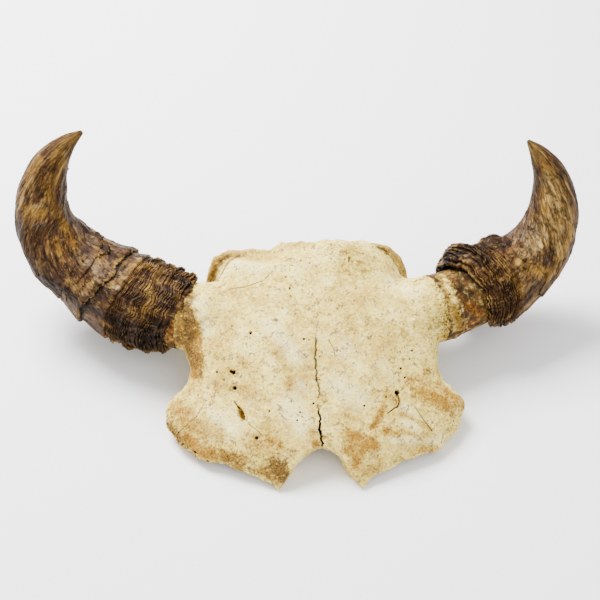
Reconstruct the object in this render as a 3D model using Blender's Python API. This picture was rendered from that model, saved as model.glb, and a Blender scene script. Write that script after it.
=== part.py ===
# Upper half of an adult bull bison skull with both horns, life size, lying as it rests on a table.
#
# Everything is laid out first in the skull's own frame, in millimetres: x across the forehead, with the
# animal's left at +x, y from the nose towards the back of the head, and z up out of the forehead. The
# last step turns the skull into its resting pose and centres its box over the origin, in metres.

import math

import bmesh
import bpy
from mathutils import Matrix, Vector, noise

MM = 0.001  # one millimetre, in metres

# Resting pose
REST_TILT = math.radians(25)  # slope of the forehead once the skull lies on its base and its front tips
REST_DROP = 64.5  # height of the skull frame's origin over the table
GAP = 0.35  # clearance between neighbouring bones, and between a horn core and its sheath

# Skull roof: y, half width, height of the side edge, height on the midline, half thickness
ROOF_STATIONS = (
    (-97, 46, -23, -15, 3.6),
    (-92, 50, -24, -14, 3.8),
    (-82, 66, -26, -11, 3.8),
    (-73, 85, -29, -9, 3.8),
    (-64, 109, -33, -7, 4.0),
    (-55, 132, -37, -5, 4.2),
    (-40, 151, -42, -3, 4.6),
    (-22, 161, -46, -1, 5.0),
    (-5, 165, -48, 0, 5.2),
    (6, 158, -46, 1, 5.4),
    (17, 148, -43, 2, 5.8),
    (28, 141, -40, 3, 6.2),
    (42, 138, -38, 4, 7.0),
    (56, 141, -40, 5, 8.0),
    (78, 146, -44, 5, 9.0),
    (104, 144, -46, 4, 10.0),
    (120, 126, -46, 3, 10.0),
    (132, 111, -46, 2, 10.0),
    (147, 104, -45, 0, 10.0),
    (159, 95, -37, -3, 10.0),
    (167, 84, -30, -7, 9.0),
    (173, 68, -24, -12, 7.0),
)
ROOF_POINTS = 17  # points across the top of each station
ROOF_ROUND = (2.2, 1.45)  # exponents of the roof's arch: across, then up
GROOVE_X, GROOVE_Y = 88, -4  # centre of the furrow over each eye socket
GROOVE_DEPTH, GROOVE_WIDTH, GROOVE_LENGTH = 3.5, 9, 30
NASAL_NOTCH = ((1, -54), (13, -57), (22, -68), (31, -81), (44, -97), (60, -125),
               (-60, -125), (-46, -97), (-36, -84), (-28, -72), (-20, -63), (-12, -59))
CREST_BOSS = (24, 163, -18)  # swelling of the crest, a little to the animal's left
CREST_BOSS_RADII = (38, 15, 15)

# Eye socket: the rim runs from the broken bar behind the eye, over the top, to the front corner
SOCKET_RIM = ((130, 31, -60), (136, 21, -54), (146, 9, -51), (156, -5, -50), (153, -22, -47),
              (144, -38, -44), (128, -51, -41))
SOCKET_RIM_RADII = (8, 9, 8, 6, 5.5, 5, 4.5)

# Back of the head: the shield's outline seen from behind (x, z), on its left half
SHIELD_OUTLINE = ((0, -12), (40, -14), (70, -20), (88, -30), (101, -42), (108, -56), (111, -72),
                  (108, -92), (96, -108), (72, -118), (40, -124), (0, -124))
SHIELD_Y, SHIELD_LEAN = 171, 0.10  # place on the midline, slope downwards
SHIELD_BEND = (0.0004, 0.0013)  # curve across, at its top and at its bottom
SHIELD_THICKNESS, SHIELD_MIDDLE = 15, -68
NUCHAL_RIM = ((0, 174, -14), (40, 173, -17), (74, 175, -23), (91, 173, -34), (103, 166, -45),
              (111, 157, -58), (113, 148, -76), (108, 141, -94), (94, 136, -108))
NUCHAL_RIM_RADII = (6, 6, 5, 4.5, 4.5, 4.5, 5.5, 7, 7)
RIM_WEB = ((74, 168, -29), (87, 165, -37), (97, 157, -50), (103, 147, -66))  # floor of the groove inside it
RIM_WEB_RADII = (6, 7, 7, 6)
CONDYLE, CONDYLE_RADII, CONDYLE_TILT = (31, 166, -113), (20, 16, 21), math.radians(-20)
JUGULAR_PROCESS = ((60, 146, -100), (58, 145, -122), (56, 143, -144))
JUGULAR_RADII = (15, 11, 8)
NECK_PIT, NECK_PIT_RADII = (44, 184, -56), (34, 9, 26)  # hollow beside the ridge of the shield
FORAMEN = ((0, 210, -100), (0, 165, -100), (0, 140, -96), (0, 104, -84))
FORAMEN_RADII = (18, 18, 17, 12)

# Underside, from the broken walls of the nose back to the shield: y, half width high up, half width
# low down, top, bottom
BASE_STATIONS = (
    (-97, 49, 47, -19, -33),
    (-82, 45, 44, -16, -38),
    (-66, 42, 41, -13, -41),
    (-42, 43, 39, -10, -48),
    (-12, 47, 38, -8, -58),
    (18, 48, 35, -7, -71),
    (46, 50, 32, -6, -83),
    (76, 62, 36, -8, -93),
    (106, 76, 43, -13, -103),
    (132, 86, 50, -20, -111),
    (158, 86, 50, -29, -116),
)
BASE_CORNER = 3.2  # exponent that squares off its outline
# Inside of the nose: y, half width, top, bottom
NOSE_STATIONS = ((-150, 60, -27, -220), (-98, 39, -27, -220), (-64, 34, -21, -220), (-30, 36, -18, -200),
                 (0, 38, -17, -160), (24, 32, -22, -118), (40, 18, -34, -66))
# The plate down its middle: y, top, depth
SEPTUM = ((-46, -15, 14), (-20, -13, 26), (10, -12, 40), (44, -12, 50))
SEPTUM_HALF = 2.6
BASE_KEEL = ((0, 168, -112), (0, 136, -111), (0, 100, -101), (0, 66, -90), (0, 44, -81))
BASE_KEEL_RADII = (16, 16, 13, 11, 9)
WING_ROOT = ((27, 38, -78), (30, 66, -94), (33, 92, -105))  # broken wings either side of the throat
WING_ROOT_RADII = (4, 6, 5)
EAR_BULB, EAR_BULB_RADII = (49, 122, -112), (12, 17, 13)

# Temporal bone
MASTOID, MASTOID_RADII = (82, 128, -86), (28, 24, 27)
CHEEK_STUB = ((86, 120, -90), (104, 107, -90), (115, 92, -88), (118, 78, -86))
CHEEK_STUB_RADII = (14, 11, 8, 5.5)
JAW_JOINT, JAW_JOINT_RADII = (92, 104, -107), (24, 13, 10)
EAR_HOLE = ((120, 131, -94), (92, 128, -94), (76, 126, -94))
EAR_HOLE_RADII = (6, 5, 3.5)

# Seams between the bones
TEMPLE_SEAM = 61  # x of the seam between the braincase and each temporal bone
TEMPLE_LEAN = 0.03  # how much further out it lies per millimetre of height
SHIELD_SEAM = 15  # distance of the seam in front of the shield's face
KEEL_SEAM = 46  # how much further forward it runs under the braincase
KEEL_SEAM_TOP, KEEL_SEAM_SIDE, KEEL_SEAM_SOFT = -92, 76, 9  # where that part of it starts, and how softly
ROOF_SEAM = 3  # distance of the seam under the skull roof
BOSS_SEAM = 43  # its radius round the horn bosses
SOCKET_SEAM = -88  # its height beside the eye sockets
SOCKET_SIDE, SOCKET_REAR = (118, 8), (70, 12)  # x and y at which it drops to that height, and how softly
SEAM_STEP = 14  # spacing of the points of a seam
BLADE_ACROSS, BLADE_ALONG, BLADE_DEPTH = 185, (-120, 205), (-170, 20)  # how far the seam blades reach
SEAM_HEIGHTS = (-130, 60)  # lower and upper edge of the blades that part the roof
CORONAL_SEAM = ((-160, 128), (-104, 131), (-84, 137), (-62, 143), (-50, 151), (-20, 155), (20, 155),
                (50, 151), (62, 143), (84, 137), (104, 131), (160, 128))
# The seam down the forehead stands open at its nose end: x, y, width
FOREHEAD_SEAM = ((0, -75, 2.6), (1.5, -52, 1.9), (-1, -40, 1.5), (0.5, -26, 1.3), (-1.5, -12, 1.2),
                 (1, 4, 1.1), (-1, 20, 0.9), (-2, 36, 0.8), (0, 52, 0.7), (1, 66, 0.5), (0, 84, 0.35),
                 (1, 104, 0.35), (0, 130, 0.35), (0, 175, 0.35))

# Horns: spine points from inside the forehead to the tip, in the skull frame
SPINES = {
    "right": ((-84, 93, -42), (-112, 101, -45), (-140, 108, -49), (-174, 121, -57), (-208, 138, -62),
              (-242, 161, -63), (-272, 186, -57), (-292, 213, -44), (-297, 237, -27), (-292, 256, -8),
              (-281, 272, 11), (-264, 285, 28), (-246, 293, 41)),
    "left": ((84, 93, -42), (112, 100, -45), (143, 107, -49), (187, 124, -58), (220, 141, -62),
             (253, 161, -58), (273, 182, -47), (282, 203, -30), (282, 223, -10), (275, 242, 9),
             (262, 259, 25), (246, 271, 40)),
}
BURR = 60  # distance along a spine at which the bare core leaves the forehead
BOSS_RADII = (22, 30, 35, 38)  # widening of the horn base inside the forehead, up to the core's radius
CORE_RADIUS = 39.0
CORE_TAPER = 0.05  # radius lost per millimetre of core
CORE_STEP = 8  # spacing of a core's rings
SOCKET_DEPTH = 46  # how far a core reaches into its sheath
SOCKET_RINGS, SOCKET_WIDEN = 5, 4.0  # steps of the socket's wall, and how much wider it is at the mouth
SHEATH_MOUTH = {"right": 61, "left": 98}  # mean distance along the spine
# The broken mouth isn't square: how much further out it lies, by cosine and sine of once and twice the angle
MOUTH_WAVE = {"right": (-8.3, 6.6, 2.1, -0.2), "left": (-7.6, -3.1, -4.6, 1.3)}
# Sheath radius by the share of its length, measured over the flakes
SHEATH_RADII = {
    "right": ((0, 44.5), (0.052, 46), (0.137, 50.5), (0.242, 49), (0.365, 44), (0.479, 39), (0.592, 33.5),
              (0.678, 29), (0.754, 25), (0.829, 19.5), (0.905, 12.5), (0.962, 7), (1, 2.5)),
    "left": ((0, 44.5), (0.027, 45), (0.125, 46.5), (0.241, 44.5), (0.368, 38), (0.494, 33), (0.611, 28.5),
             (0.708, 24), (0.805, 18.5), (0.883, 13), (0.951, 7), (1, 2.2)),
}
LAYERS = {"right": 10, "left": 8}  # stacked growth layers near the mouth
LAYER_PITCH = {"right": 10.0, "left": 9.3}
LAYER_STEP = 2.0  # how far each layer's free edge stands out
LAYER_SHARE = 0.86  # share of the pitch over which a layer slopes in to the foot of the next one
LAYER_FADE = 0.5  # share of the step that is lost up to the last layer
WAVE_FADE = 1.6  # length over which the mouth's wave dies away, by the length of the layers
LIP_FLARE = {"right": 2.0, "left": 13.0}  # extra radius near the mouth on its rear side
LIP_PEAK, LIP_LENGTH = 14, 20  # how far up the horn that is greatest, and over which length it dies away
LIP_INSIDE = 0.7  # share of it inside the mouth
FLUTES, FLUTE_DEPTH = 6, 0.9
FLUTE_START, FLUTE_RADIUS = 60, 15  # length over which the flutes grow, and the radius below which they fade
RING_SIDES = 20
RING_STEP, RING_GROWTH = 5, 0.3  # spacing of the rings beyond the layers, and its growth with the radius
TIP_ROOM = 4  # no ring lies closer to the tip

# The bones are fused before they are parted again along their seams
VOXEL = 2.0
SMOOTH_PASSES = 6
CRANIUM_TRIANGLES = 4600
LUMP_SIZE, LUMP_HEIGHT = 26, 0.9  # uneven natural surface
SMALLEST_BONE = 40  # points; a scrap left by a cut has fewer
TRIM_SIZE = 200  # half width of the blocks that cut the horn bosses off at the burr

BONE_COLOUR = (0.76, 0.66, 0.47, 1)
BROWN_BONE = (0.40, 0.25, 0.10, 1)
HORN_COLOUR = (0.12, 0.07, 0.035, 1)


def clear_scene():
    for item in list(bpy.data.objects):
        bpy.data.objects.remove(item)


def material(name, colour, roughness):
    made = bpy.data.materials.new(name)
    made.use_nodes = True
    shader = made.node_tree.nodes["Principled BSDF"]
    shader.inputs["Base Color"].default_value = colour
    shader.inputs["Roughness"].default_value = roughness
    shader.inputs["Metallic"].default_value = 0
    return made


def object_from(name, build):
    """A new object whose bmesh, in millimetres, is filled by build()."""
    bm = bmesh.new()
    build(bm)
    bmesh.ops.triangulate(bm, faces=bm.faces)
    bmesh.ops.recalc_face_normals(bm, faces=bm.faces)
    mesh = bpy.data.meshes.new(name)
    bm.to_mesh(mesh)
    bm.free()
    made = bpy.data.objects.new(name, mesh)
    bpy.context.scene.collection.objects.link(made)
    return made


def loft(name, rings):
    """A closed solid through rings of equally many points, with a flat face at each end."""

    def build(bm):
        rows = [[bm.verts.new(point) for point in ring] for ring in rings]
        count = len(rows[0])
        for low, high in zip(rows, rows[1:]):
            for i in range(count):
                j = (i + 1) % count
                bm.faces.new((low[i], low[j], high[j], high[i]))
        bm.faces.new(rows[0][::-1])
        bm.faces.new(rows[-1])

    return object_from(name, build)


def ellipsoid(name, centre, radii, tilt=0.0):
    """tilt turns it about x, so that its long axis can follow the base of the skull."""
    place = Matrix.Translation(centre) @ Matrix.Rotation(tilt, 4, "X") @ Matrix.Diagonal((*radii, 1))

    def build(bm):
        bmesh.ops.create_icosphere(bm, subdivisions=4, radius=1, matrix=place)

    return object_from(name, build)


def prism(name, outline, low, high, turn=None):
    """An outline in x and y, extruded from low to high along z, then turned."""
    place = turn or Matrix.Identity(4)
    rings = [[place @ Vector((x, y, z)) for x, y in outline] for z in (low, high)]
    return loft(name, rings)


def smooth_path(points, step):
    """Points about one step apart on a Catmull-Rom curve through the given ones."""
    points = [Vector(p) for p in points]
    padded = [2 * points[0] - points[1], *points, 2 * points[-1] - points[-2]]
    path = [points[0]]
    for a, b, c, d in zip(padded, padded[1:], padded[2:], padded[3:]):
        count = max(1, round((c - b).length / step))
        for k in range(1, count + 1):
            t = k / count
            path.append(0.5 * (2 * b + (c - a) * t + (2 * a - 5 * b + 4 * c - d) * t * t
                               + (3 * b - a - 3 * c + d) * t ** 3))
    return path


def interpolate(table, t):
    """Value at t in rows of (t, value), in straight runs between the rows."""
    for (t0, v0), (t1, v1) in zip(table, table[1:]):
        if t <= t1:
            share = max(0.0, (t - t0) / (t1 - t0))
            return v0 + (v1 - v0) * share
    return table[-1][1]


def tube(name, points, radii, sides=12, flatten=1.0):
    """A round bar through the points, its radius given at each; flatten thins it along z."""
    rings = []
    for i, point in enumerate(points):
        ahead = Vector(points[min(i + 1, len(points) - 1)]) - Vector(points[max(i - 1, 0)])
        side = ahead.cross(Vector((0, 0, 1))).normalized()
        up = side.cross(ahead).normalized() * flatten
        rings.append([Vector(point) + radii[i] * (math.cos(a) * side + math.sin(a) * up)
                      for a in (2 * math.pi * k / sides for k in range(sides))])
    return loft(name, rings)


def mirrored(points):
    return [(-x, y, z) for x, y, z in points]


def apply_modifiers(item):
    graph = bpy.context.evaluated_depsgraph_get()
    baked = bpy.data.meshes.new_from_object(item.evaluated_get(graph))
    item.modifiers.clear()
    item.data = baked


def shift_points(mesh, distance_at):
    """Moves each point along its normal by distance_at(point)."""
    places = [vertex.co + vertex.normal * distance_at(vertex.co) for vertex in mesh.vertices]
    mesh.vertices.foreach_set("co", [c for place in places for c in place])
    mesh.update()


def join(name, pieces):
    """The pieces' meshes in one object; they still overlap inside it."""

    def build(bm):
        for piece in pieces:
            bm.from_mesh(piece.data)

    made = object_from(name, build)
    for piece in pieces:
        bpy.data.objects.remove(piece)
    return made


def remesh(item):
    modifier = item.modifiers.new("Fuse", "REMESH")
    modifier.mode = "VOXEL"
    modifier.voxel_size = VOXEL
    apply_modifiers(item)


def boolean(item, cutter):
    modifier = item.modifiers.new("Cut", "BOOLEAN")
    modifier.operation = "DIFFERENCE"
    modifier.object = cutter
    modifier.solver = "EXACT"
    apply_modifiers(item)
    bpy.data.objects.remove(cutter)


def loose_parts(item):
    """The item's separate closed surfaces, largest first, as new objects; scraps are dropped."""
    bm = bmesh.new()
    bm.from_mesh(item.data)
    bmesh.ops.dissolve_degenerate(bm, edges=bm.edges, dist=0.01)
    bmesh.ops.triangulate(bm, faces=bm.faces)
    bm.verts.index_update()
    left = set(bm.verts)
    groups = []
    while left:
        stack = [left.pop()]
        group = set(stack)
        while stack:
            for edge in stack.pop().link_edges:
                for vertex in edge.verts:
                    if vertex in left:
                        left.discard(vertex)
                        group.add(vertex)
                        stack.append(vertex)
        groups.append({vertex.index for vertex in group})
    groups = sorted((group for group in groups if len(group) >= SMALLEST_BONE), key=len, reverse=True)
    parts = []
    for group in groups:
        part = bm.copy()
        bmesh.ops.delete(part, geom=[v for v in part.verts if v.index not in group], context="VERTS")
        mesh = bpy.data.meshes.new("part")
        part.to_mesh(mesh)
        part.free()
        parts.append(bpy.data.objects.new("part", mesh))
        bpy.context.scene.collection.objects.link(parts[-1])
    bm.free()
    bpy.data.objects.remove(item)
    return parts


def cut(item, *cutters):
    """The largest piece left of the item once the cutters are taken out of it."""
    for cutter in cutters:
        boolean(item, cutter)
    first, *scraps = loose_parts(item)
    for scrap in scraps:
        bpy.data.objects.remove(scrap)
    return first


def split(item, blade, axis):
    """The two largest pieces left by a blade, the one lower along the axis first."""
    boolean(item, blade)
    first, second, *scraps = loose_parts(item)
    for scrap in scraps:
        bpy.data.objects.remove(scrap)
    return sorted((first, second), key=lambda part: middle(part, axis))


def middle(item, axis):
    return sum(v.co[axis] for v in item.data.vertices) / len(item.data.vertices)


def sheet_blade(name, place, us, vs):
    """A blade as thick as the gap, bent to the surface place(u, v)."""
    grid = [[place(u, v) for v in vs] for u in us]
    front, back = [], []
    for i in range(len(us)):
        for j in range(len(vs)):
            along = grid[min(i + 1, len(us) - 1)][j] - grid[max(i - 1, 0)][j]
            across = grid[i][min(j + 1, len(vs) - 1)] - grid[i][max(j - 1, 0)]
            normal = along.cross(across).normalized() * GAP / 2
            front.append(grid[i][j] + normal)
            back.append(grid[i][j] - normal)

    def build(bm):
        tops = [bm.verts.new(p) for p in front]
        bottoms = [bm.verts.new(p) for p in back]
        wide = len(vs)

        def cell(points, i, j):
            corners = ((i, j), (i + 1, j), (i + 1, j + 1), (i, j + 1))
            return [points[a * wide + b] for a, b in corners]

        for i in range(len(us) - 1):
            for j in range(wide - 1):
                bm.faces.new(cell(tops, i, j))
                bm.faces.new(cell(bottoms, i, j)[::-1])
        last = len(us) - 1
        border = [(i, 0) for i in range(last)] + [(last, j) for j in range(wide - 1)]
        border += [(i, wide - 1) for i in range(last, 0, -1)] + [(0, j) for j in range(wide - 1, 0, -1)]
        for (a, b), (c, d) in zip(border, border[1:] + border[:1]):
            here, ahead = a * wide + b, c * wide + d
            bm.faces.new((tops[here], tops[ahead], bottoms[ahead], bottoms[here]))

    return object_from(name, build)


def steps(low, high, size=SEAM_STEP):
    count = round((high - low) / size)
    return [low + (high - low) * k / count for k in range(count + 1)]


def ease(t):
    """0 below -1, 1 above 1, smooth in between."""
    t = min(1.0, max(0.0, (t + 1) / 2))
    return t * t * (3 - 2 * t)


def roof_ring(y, half_width, side_z, mid_z, half_thick):
    """One station of the skull roof: an arched plate, rounded off along its sides."""
    across, up = ROOF_ROUND
    rise = mid_z - half_thick - side_z
    top, bottom = [], []
    for k in range(ROOF_POINTS):
        x = half_width * math.sin(math.pi * (k / (ROOF_POINTS - 1) - 0.5))
        share = min(1.0, abs(x) / half_width)
        middle = side_z + rise * (1 - share ** across) ** (1 / up)
        round_off = math.sqrt(max(0.0, 1 - share ** 10))
        furrow = GROOVE_DEPTH * math.exp(-((abs(x) - GROOVE_X) / GROOVE_WIDTH) ** 2
                                         - ((y - GROOVE_Y) / GROOVE_LENGTH) ** 2)
        top.append(Vector((x, y, middle + half_thick * round_off - furrow)))
        bottom.append(Vector((x, y, middle - half_thick * round_off - furrow)))
    return top + bottom[-2:0:-1]


def roof_pieces():
    """Forehead and crest, with the horn bosses and the upper rims of the eye sockets."""
    pieces = [loft("plate", [roof_ring(*station) for station in ROOF_STATIONS])]
    pieces.append(ellipsoid("crest_boss", CREST_BOSS, CREST_BOSS_RADII))
    for side, spine in SPINES.items():
        rim = SOCKET_RIM if side == "left" else mirrored(SOCKET_RIM)
        pieces.append(tube("socket_rim", rim, SOCKET_RIM_RADII))
        path = smooth_path(spine, 8)[:12]
        radii = BOSS_RADII + (CORE_RADIUS,) * (len(path) - len(BOSS_RADII))
        pieces.append(tube("horn_boss", path, radii, sides=32))
    return pieces


def base_ring(y, wide_high, wide_low, top, bottom, sides=28):
    ring = []
    middle_z, half = (top + bottom) / 2, (top - bottom) / 2
    for k in range(sides):
        angle = 2 * math.pi * k / sides
        c, s = math.cos(angle), math.sin(angle)
        across = math.copysign(abs(c) ** (2 / BASE_CORNER), c)
        up = math.copysign(abs(s) ** (2 / BASE_CORNER), s)
        wide = wide_low + (wide_high - wide_low) * (up + 1) / 2
        ring.append(Vector((wide * across, y, middle_z + half * up)))
    return ring


def base_pieces():
    """Braincase and skull base, the walls of the nose, the temporal swellings and the back of the head."""
    pieces = [loft("base", [base_ring(*station) for station in BASE_STATIONS])]
    pieces.append(tube("keel", BASE_KEEL, BASE_KEEL_RADII, flatten=0.6))
    outline = list(SHIELD_OUTLINE) + [(-x, z) for x, z in SHIELD_OUTLINE[-2:0:-1]]
    layers = ((0.3, 1), (0.75, 0), (1, 3), (1, SHIELD_THICKNESS), (0.4, SHIELD_THICKNESS))
    pieces.append(loft("shield", [[shield_point(x * size, SHIELD_MIDDLE + (z - SHIELD_MIDDLE) * size, back)
                                   for x, z in outline] for size, back in layers]))
    rim = list(NUCHAL_RIM)
    pieces.append(tube("rim", mirrored(rim[:0:-1]) + rim, NUCHAL_RIM_RADII[:0:-1] + NUCHAL_RIM_RADII))
    for flip in (list, mirrored):
        pieces.append(tube("rim_web", flip(RIM_WEB), RIM_WEB_RADII))
        pieces.append(ellipsoid("condyle", flip([CONDYLE])[0], CONDYLE_RADII, CONDYLE_TILT))
        pieces.append(tube("jugular", flip(JUGULAR_PROCESS), JUGULAR_RADII))
        pieces.append(tube("wing_root", flip(WING_ROOT), WING_ROOT_RADII))
        pieces.append(ellipsoid("ear_bulb", flip([EAR_BULB])[0], EAR_BULB_RADII))
        pieces.append(ellipsoid("mastoid", flip([MASTOID])[0], MASTOID_RADII))
        pieces.append(tube("cheek_stub", flip(CHEEK_STUB), CHEEK_STUB_RADII, flatten=0.75))
        pieces.append(ellipsoid("jaw_joint", flip([JAW_JOINT])[0], JAW_JOINT_RADII))
    return pieces


def shield_point(x, z, forward=0.0):
    high, low = SHIELD_BEND
    bend = high + (low - high) * ease((-58 - z) / 24)
    return Vector((x, SHIELD_Y - bend * x * x + SHIELD_LEAN * (z + 12) - forward, z))


def hollows():
    """What is taken out of the fused skull: the nose, the neck pits, the ears and the spinal opening."""
    rings = [base_ring(y, wide, wide, top, bottom) for y, wide, top, bottom in NOSE_STATIONS]
    cutters = [loft("nose", rings)]
    for flip in (list, mirrored):
        cutters.append(ellipsoid("neck_pit", flip([NECK_PIT])[0], NECK_PIT_RADII))
        cutters.append(tube("ear_hole", flip(EAR_HOLE), EAR_HOLE_RADII))
    cutters.append(tube("foramen", FORAMEN, FORAMEN_RADII, 20))
    cutters.append(prism("nasal_notch", NASAL_NOTCH, -60, 40))
    return cutters


def cranium():
    """All the bone in one piece: fused, hollowed, softened, made slightly uneven and thinned out."""
    bone = join("cranium", roof_pieces() + base_pieces())
    remesh(bone)
    for cutter in hollows():
        boolean(bone, cutter)
    septum = []
    for y, top, deep in SEPTUM:
        corners = ((-1, top), (1, top), (1, top - deep), (-1, top - deep))
        septum.append([Vector((side * SEPTUM_HALF, y, z)) for side, z in corners])
    bone = join("cranium", [bone, loft("septum", septum)])
    remesh(bone)
    soften = bone.modifiers.new("Soften", "SMOOTH")
    soften.factor = 0.5
    soften.iterations = SMOOTH_PASSES
    apply_modifiers(bone)
    shift_points(bone.data, lambda point: noise.noise(point / LUMP_SIZE) * LUMP_HEIGHT)
    bone.data.calc_loop_triangles()
    thin = bone.modifiers.new("Thin", "DECIMATE")
    thin.ratio = CRANIUM_TRIANGLES / len(bone.data.loop_triangles)
    thin.use_collapse_triangulate = True
    apply_modifiers(bone)
    trims = [slab_beyond(*on_spine(side, BURR), TRIM_SIZE) for side in SPINES]
    return cut(bone, table_block(), *trims)


def roof_underside(x, y):
    """Height of the seam between the skull roof and the bones below it."""
    x = abs(x)
    rows = [(station[0], station) for station in ROOF_STATIONS]
    wide, side_z, mid_z, thick = (interpolate([(at, row[k]) for at, row in rows], y) for k in (1, 2, 3, 4))
    across, up = ROOF_ROUND
    share = min(1.0, x / wide)
    z = side_z + (mid_z - thick - side_z) * (1 - share ** across) ** (1 / up) - thick - ROOF_SEAM
    start, end = Vector(SPINES["left"][0]), Vector(SPINES["left"][2])
    axis = start.lerp(end, (x - start.x) / (end.x - start.x))
    reach = BOSS_SEAM * min(1.0, max(0.0, (x - start.x + 22) / 22))
    if abs(y - axis.y) < reach:
        z = min(z, axis.z - math.sqrt(reach ** 2 - (y - axis.y) ** 2))
    (side, side_soft), (rear, rear_soft) = SOCKET_SIDE, SOCKET_REAR
    outside = ease((x - side) / side_soft) * ease((rear - y) / rear_soft)
    return z + (min(z, SOCKET_SEAM) - z) * outside


def seam_blade(name, line, low, high):
    """An upright blade along (x, y, width) points."""
    left, right = [], []
    for i, (x, y, width) in enumerate(line):
        before, after = line[max(i - 1, 0)], line[min(i + 1, len(line) - 1)]
        side = Vector((before[1] - after[1], after[0] - before[0])).normalized() * width / 2
        left.append((x + side.x, y + side.y))
        right.append((x - side.x, y - side.y))
    return prism(name, left + right[::-1], low, high)


def bones():
    """The cranium, parted along its seams."""
    whole = cranium()
    across, along, deep = steps(-BLADE_ACROSS, BLADE_ACROSS), steps(*BLADE_ALONG), steps(*BLADE_DEPTH)
    roof_blade = sheet_blade("roof_seam", lambda x, y: Vector((x, y, roof_underside(x, y))), across, along)
    below, roof = split(whole, roof_blade, 2)

    def shield_seam(x, z):
        top, side = (KEEL_SEAM_TOP - z) / KEEL_SEAM_SOFT, (KEEL_SEAM_SIDE - abs(x)) / KEEL_SEAM_SOFT
        return shield_point(x, z, SHIELD_SEAM + KEEL_SEAM * ease(top) * ease(side))

    def temple_seam(y, z):
        return Vector((sign * (TEMPLE_SEAM + TEMPLE_LEAN * (z - SOCKET_SEAM)), y, z))

    case, occipital = split(below, sheet_blade("shield_seam", shield_seam, across, deep), 1)
    for sign in (1, -1):
        blade = sheet_blade("temple_seam", temple_seam, along, deep)
        if sign > 0:
            case, temporal_left = split(case, blade, 0)
        else:
            temporal_right, case = split(case, blade, 0)
    coronal = [(x, y, GAP) for x, y in CORONAL_SEAM]
    front, parietal = split(roof, seam_blade("coronal", coronal, *SEAM_HEIGHTS), 1)
    frontal_right, frontal_left = split(front, seam_blade("forehead", FOREHEAD_SEAM, *SEAM_HEIGHTS), 0)
    named = {"frontal_left": frontal_left, "frontal_right": frontal_right, "parietal": parietal,
             "occipital": occipital, "braincase": case, "temporal_left": temporal_left,
             "temporal_right": temporal_right}
    for name, bone in named.items():
        bone.name = name
    return list(named.values())


def slab_beyond(point, ahead, size):
    """A block whose near face passes through the point, square to ahead."""
    turn = ahead.to_track_quat("Z", "Y").to_matrix().to_4x4()
    corners = ((-size, -size), (size, -size), (size, size), (-size, size))
    return prism("beyond", corners, 0, 2 * size, Matrix.Translation(point) @ turn)


def on_spine(side, distance):
    """(point, direction) at a distance along a horn's spine."""
    path = smooth_path(SPINES[side], 3)
    done = 0.0
    for a, b in zip(path, path[1:]):
        length = (b - a).length
        if done + length >= distance:
            return a.lerp(b, (distance - done) / length), (b - a).normalized()
        done += length
    return path[-1], (path[-1] - path[-2]).normalized()


def spine_length(side):
    path = smooth_path(SPINES[side], 3)
    return sum((b - a).length for a, b in zip(path, path[1:]))


def mouth_wave(side, angle):
    waves = (math.cos(angle), math.sin(angle), math.cos(2 * angle), math.sin(2 * angle))
    return sum(size * wave for size, wave in zip(MOUTH_WAVE[side], waves))


def horn_ring(side, distance, radius_at, wavy=0.0):
    """Points round a spine. Angle 0 faces the back of the head; wavy is the share of the mouth's wave."""
    ring = []
    for k in range(RING_SIDES):
        angle = 2 * math.pi * k / RING_SIDES
        here = distance + wavy * mouth_wave(side, angle)
        centre, ahead = on_spine(side, here)
        rear = Vector((0, 1, 0)) - ahead * ahead.y
        rear.normalize()
        up = ahead.cross(rear) if side == "right" else rear.cross(ahead)
        ring.append(centre + radius_at(angle) * (math.cos(angle) * rear + math.sin(angle) * up))
    return ring


def core_radius(distance):
    return CORE_RADIUS - CORE_TAPER * (distance - BURR)


def horn_core(side):
    """Bare bone from the burr to the bottom of the sheath's socket."""
    start, end = BURR + GAP, SHEATH_MOUTH[side] + SOCKET_DEPTH
    rings = []
    for distance in steps(start, end, CORE_STEP):
        rings.append(horn_ring(side, distance, lambda angle: core_radius(distance)))
    return loft(f"horn_core_{side}", rings)


def sheath_surface(side, distance):
    """Outer radius of a sheath at a distance along the spine, as a function of the angle."""
    mouth, end = SHEATH_MOUTH[side], spine_length(side)
    share = (distance - mouth) / (end - mouth)
    radius = interpolate(SHEATH_RADII[side], share)
    layered = LAYERS[side] * LAYER_PITCH[side]
    smoothness = min(1.0, max(0.0, (distance - mouth - layered) / FLUTE_START))
    curl = LIP_FLARE[side] * math.exp(-((distance - mouth - LIP_PEAK) / LIP_LENGTH) ** 2)

    def radius_at(angle):
        flute = FLUTE_DEPTH * math.cos(FLUTES * angle) * smoothness * min(1.0, radius / FLUTE_RADIUS)
        return radius + flute + curl * max(0.0, math.cos(angle))

    return radius_at


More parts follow.
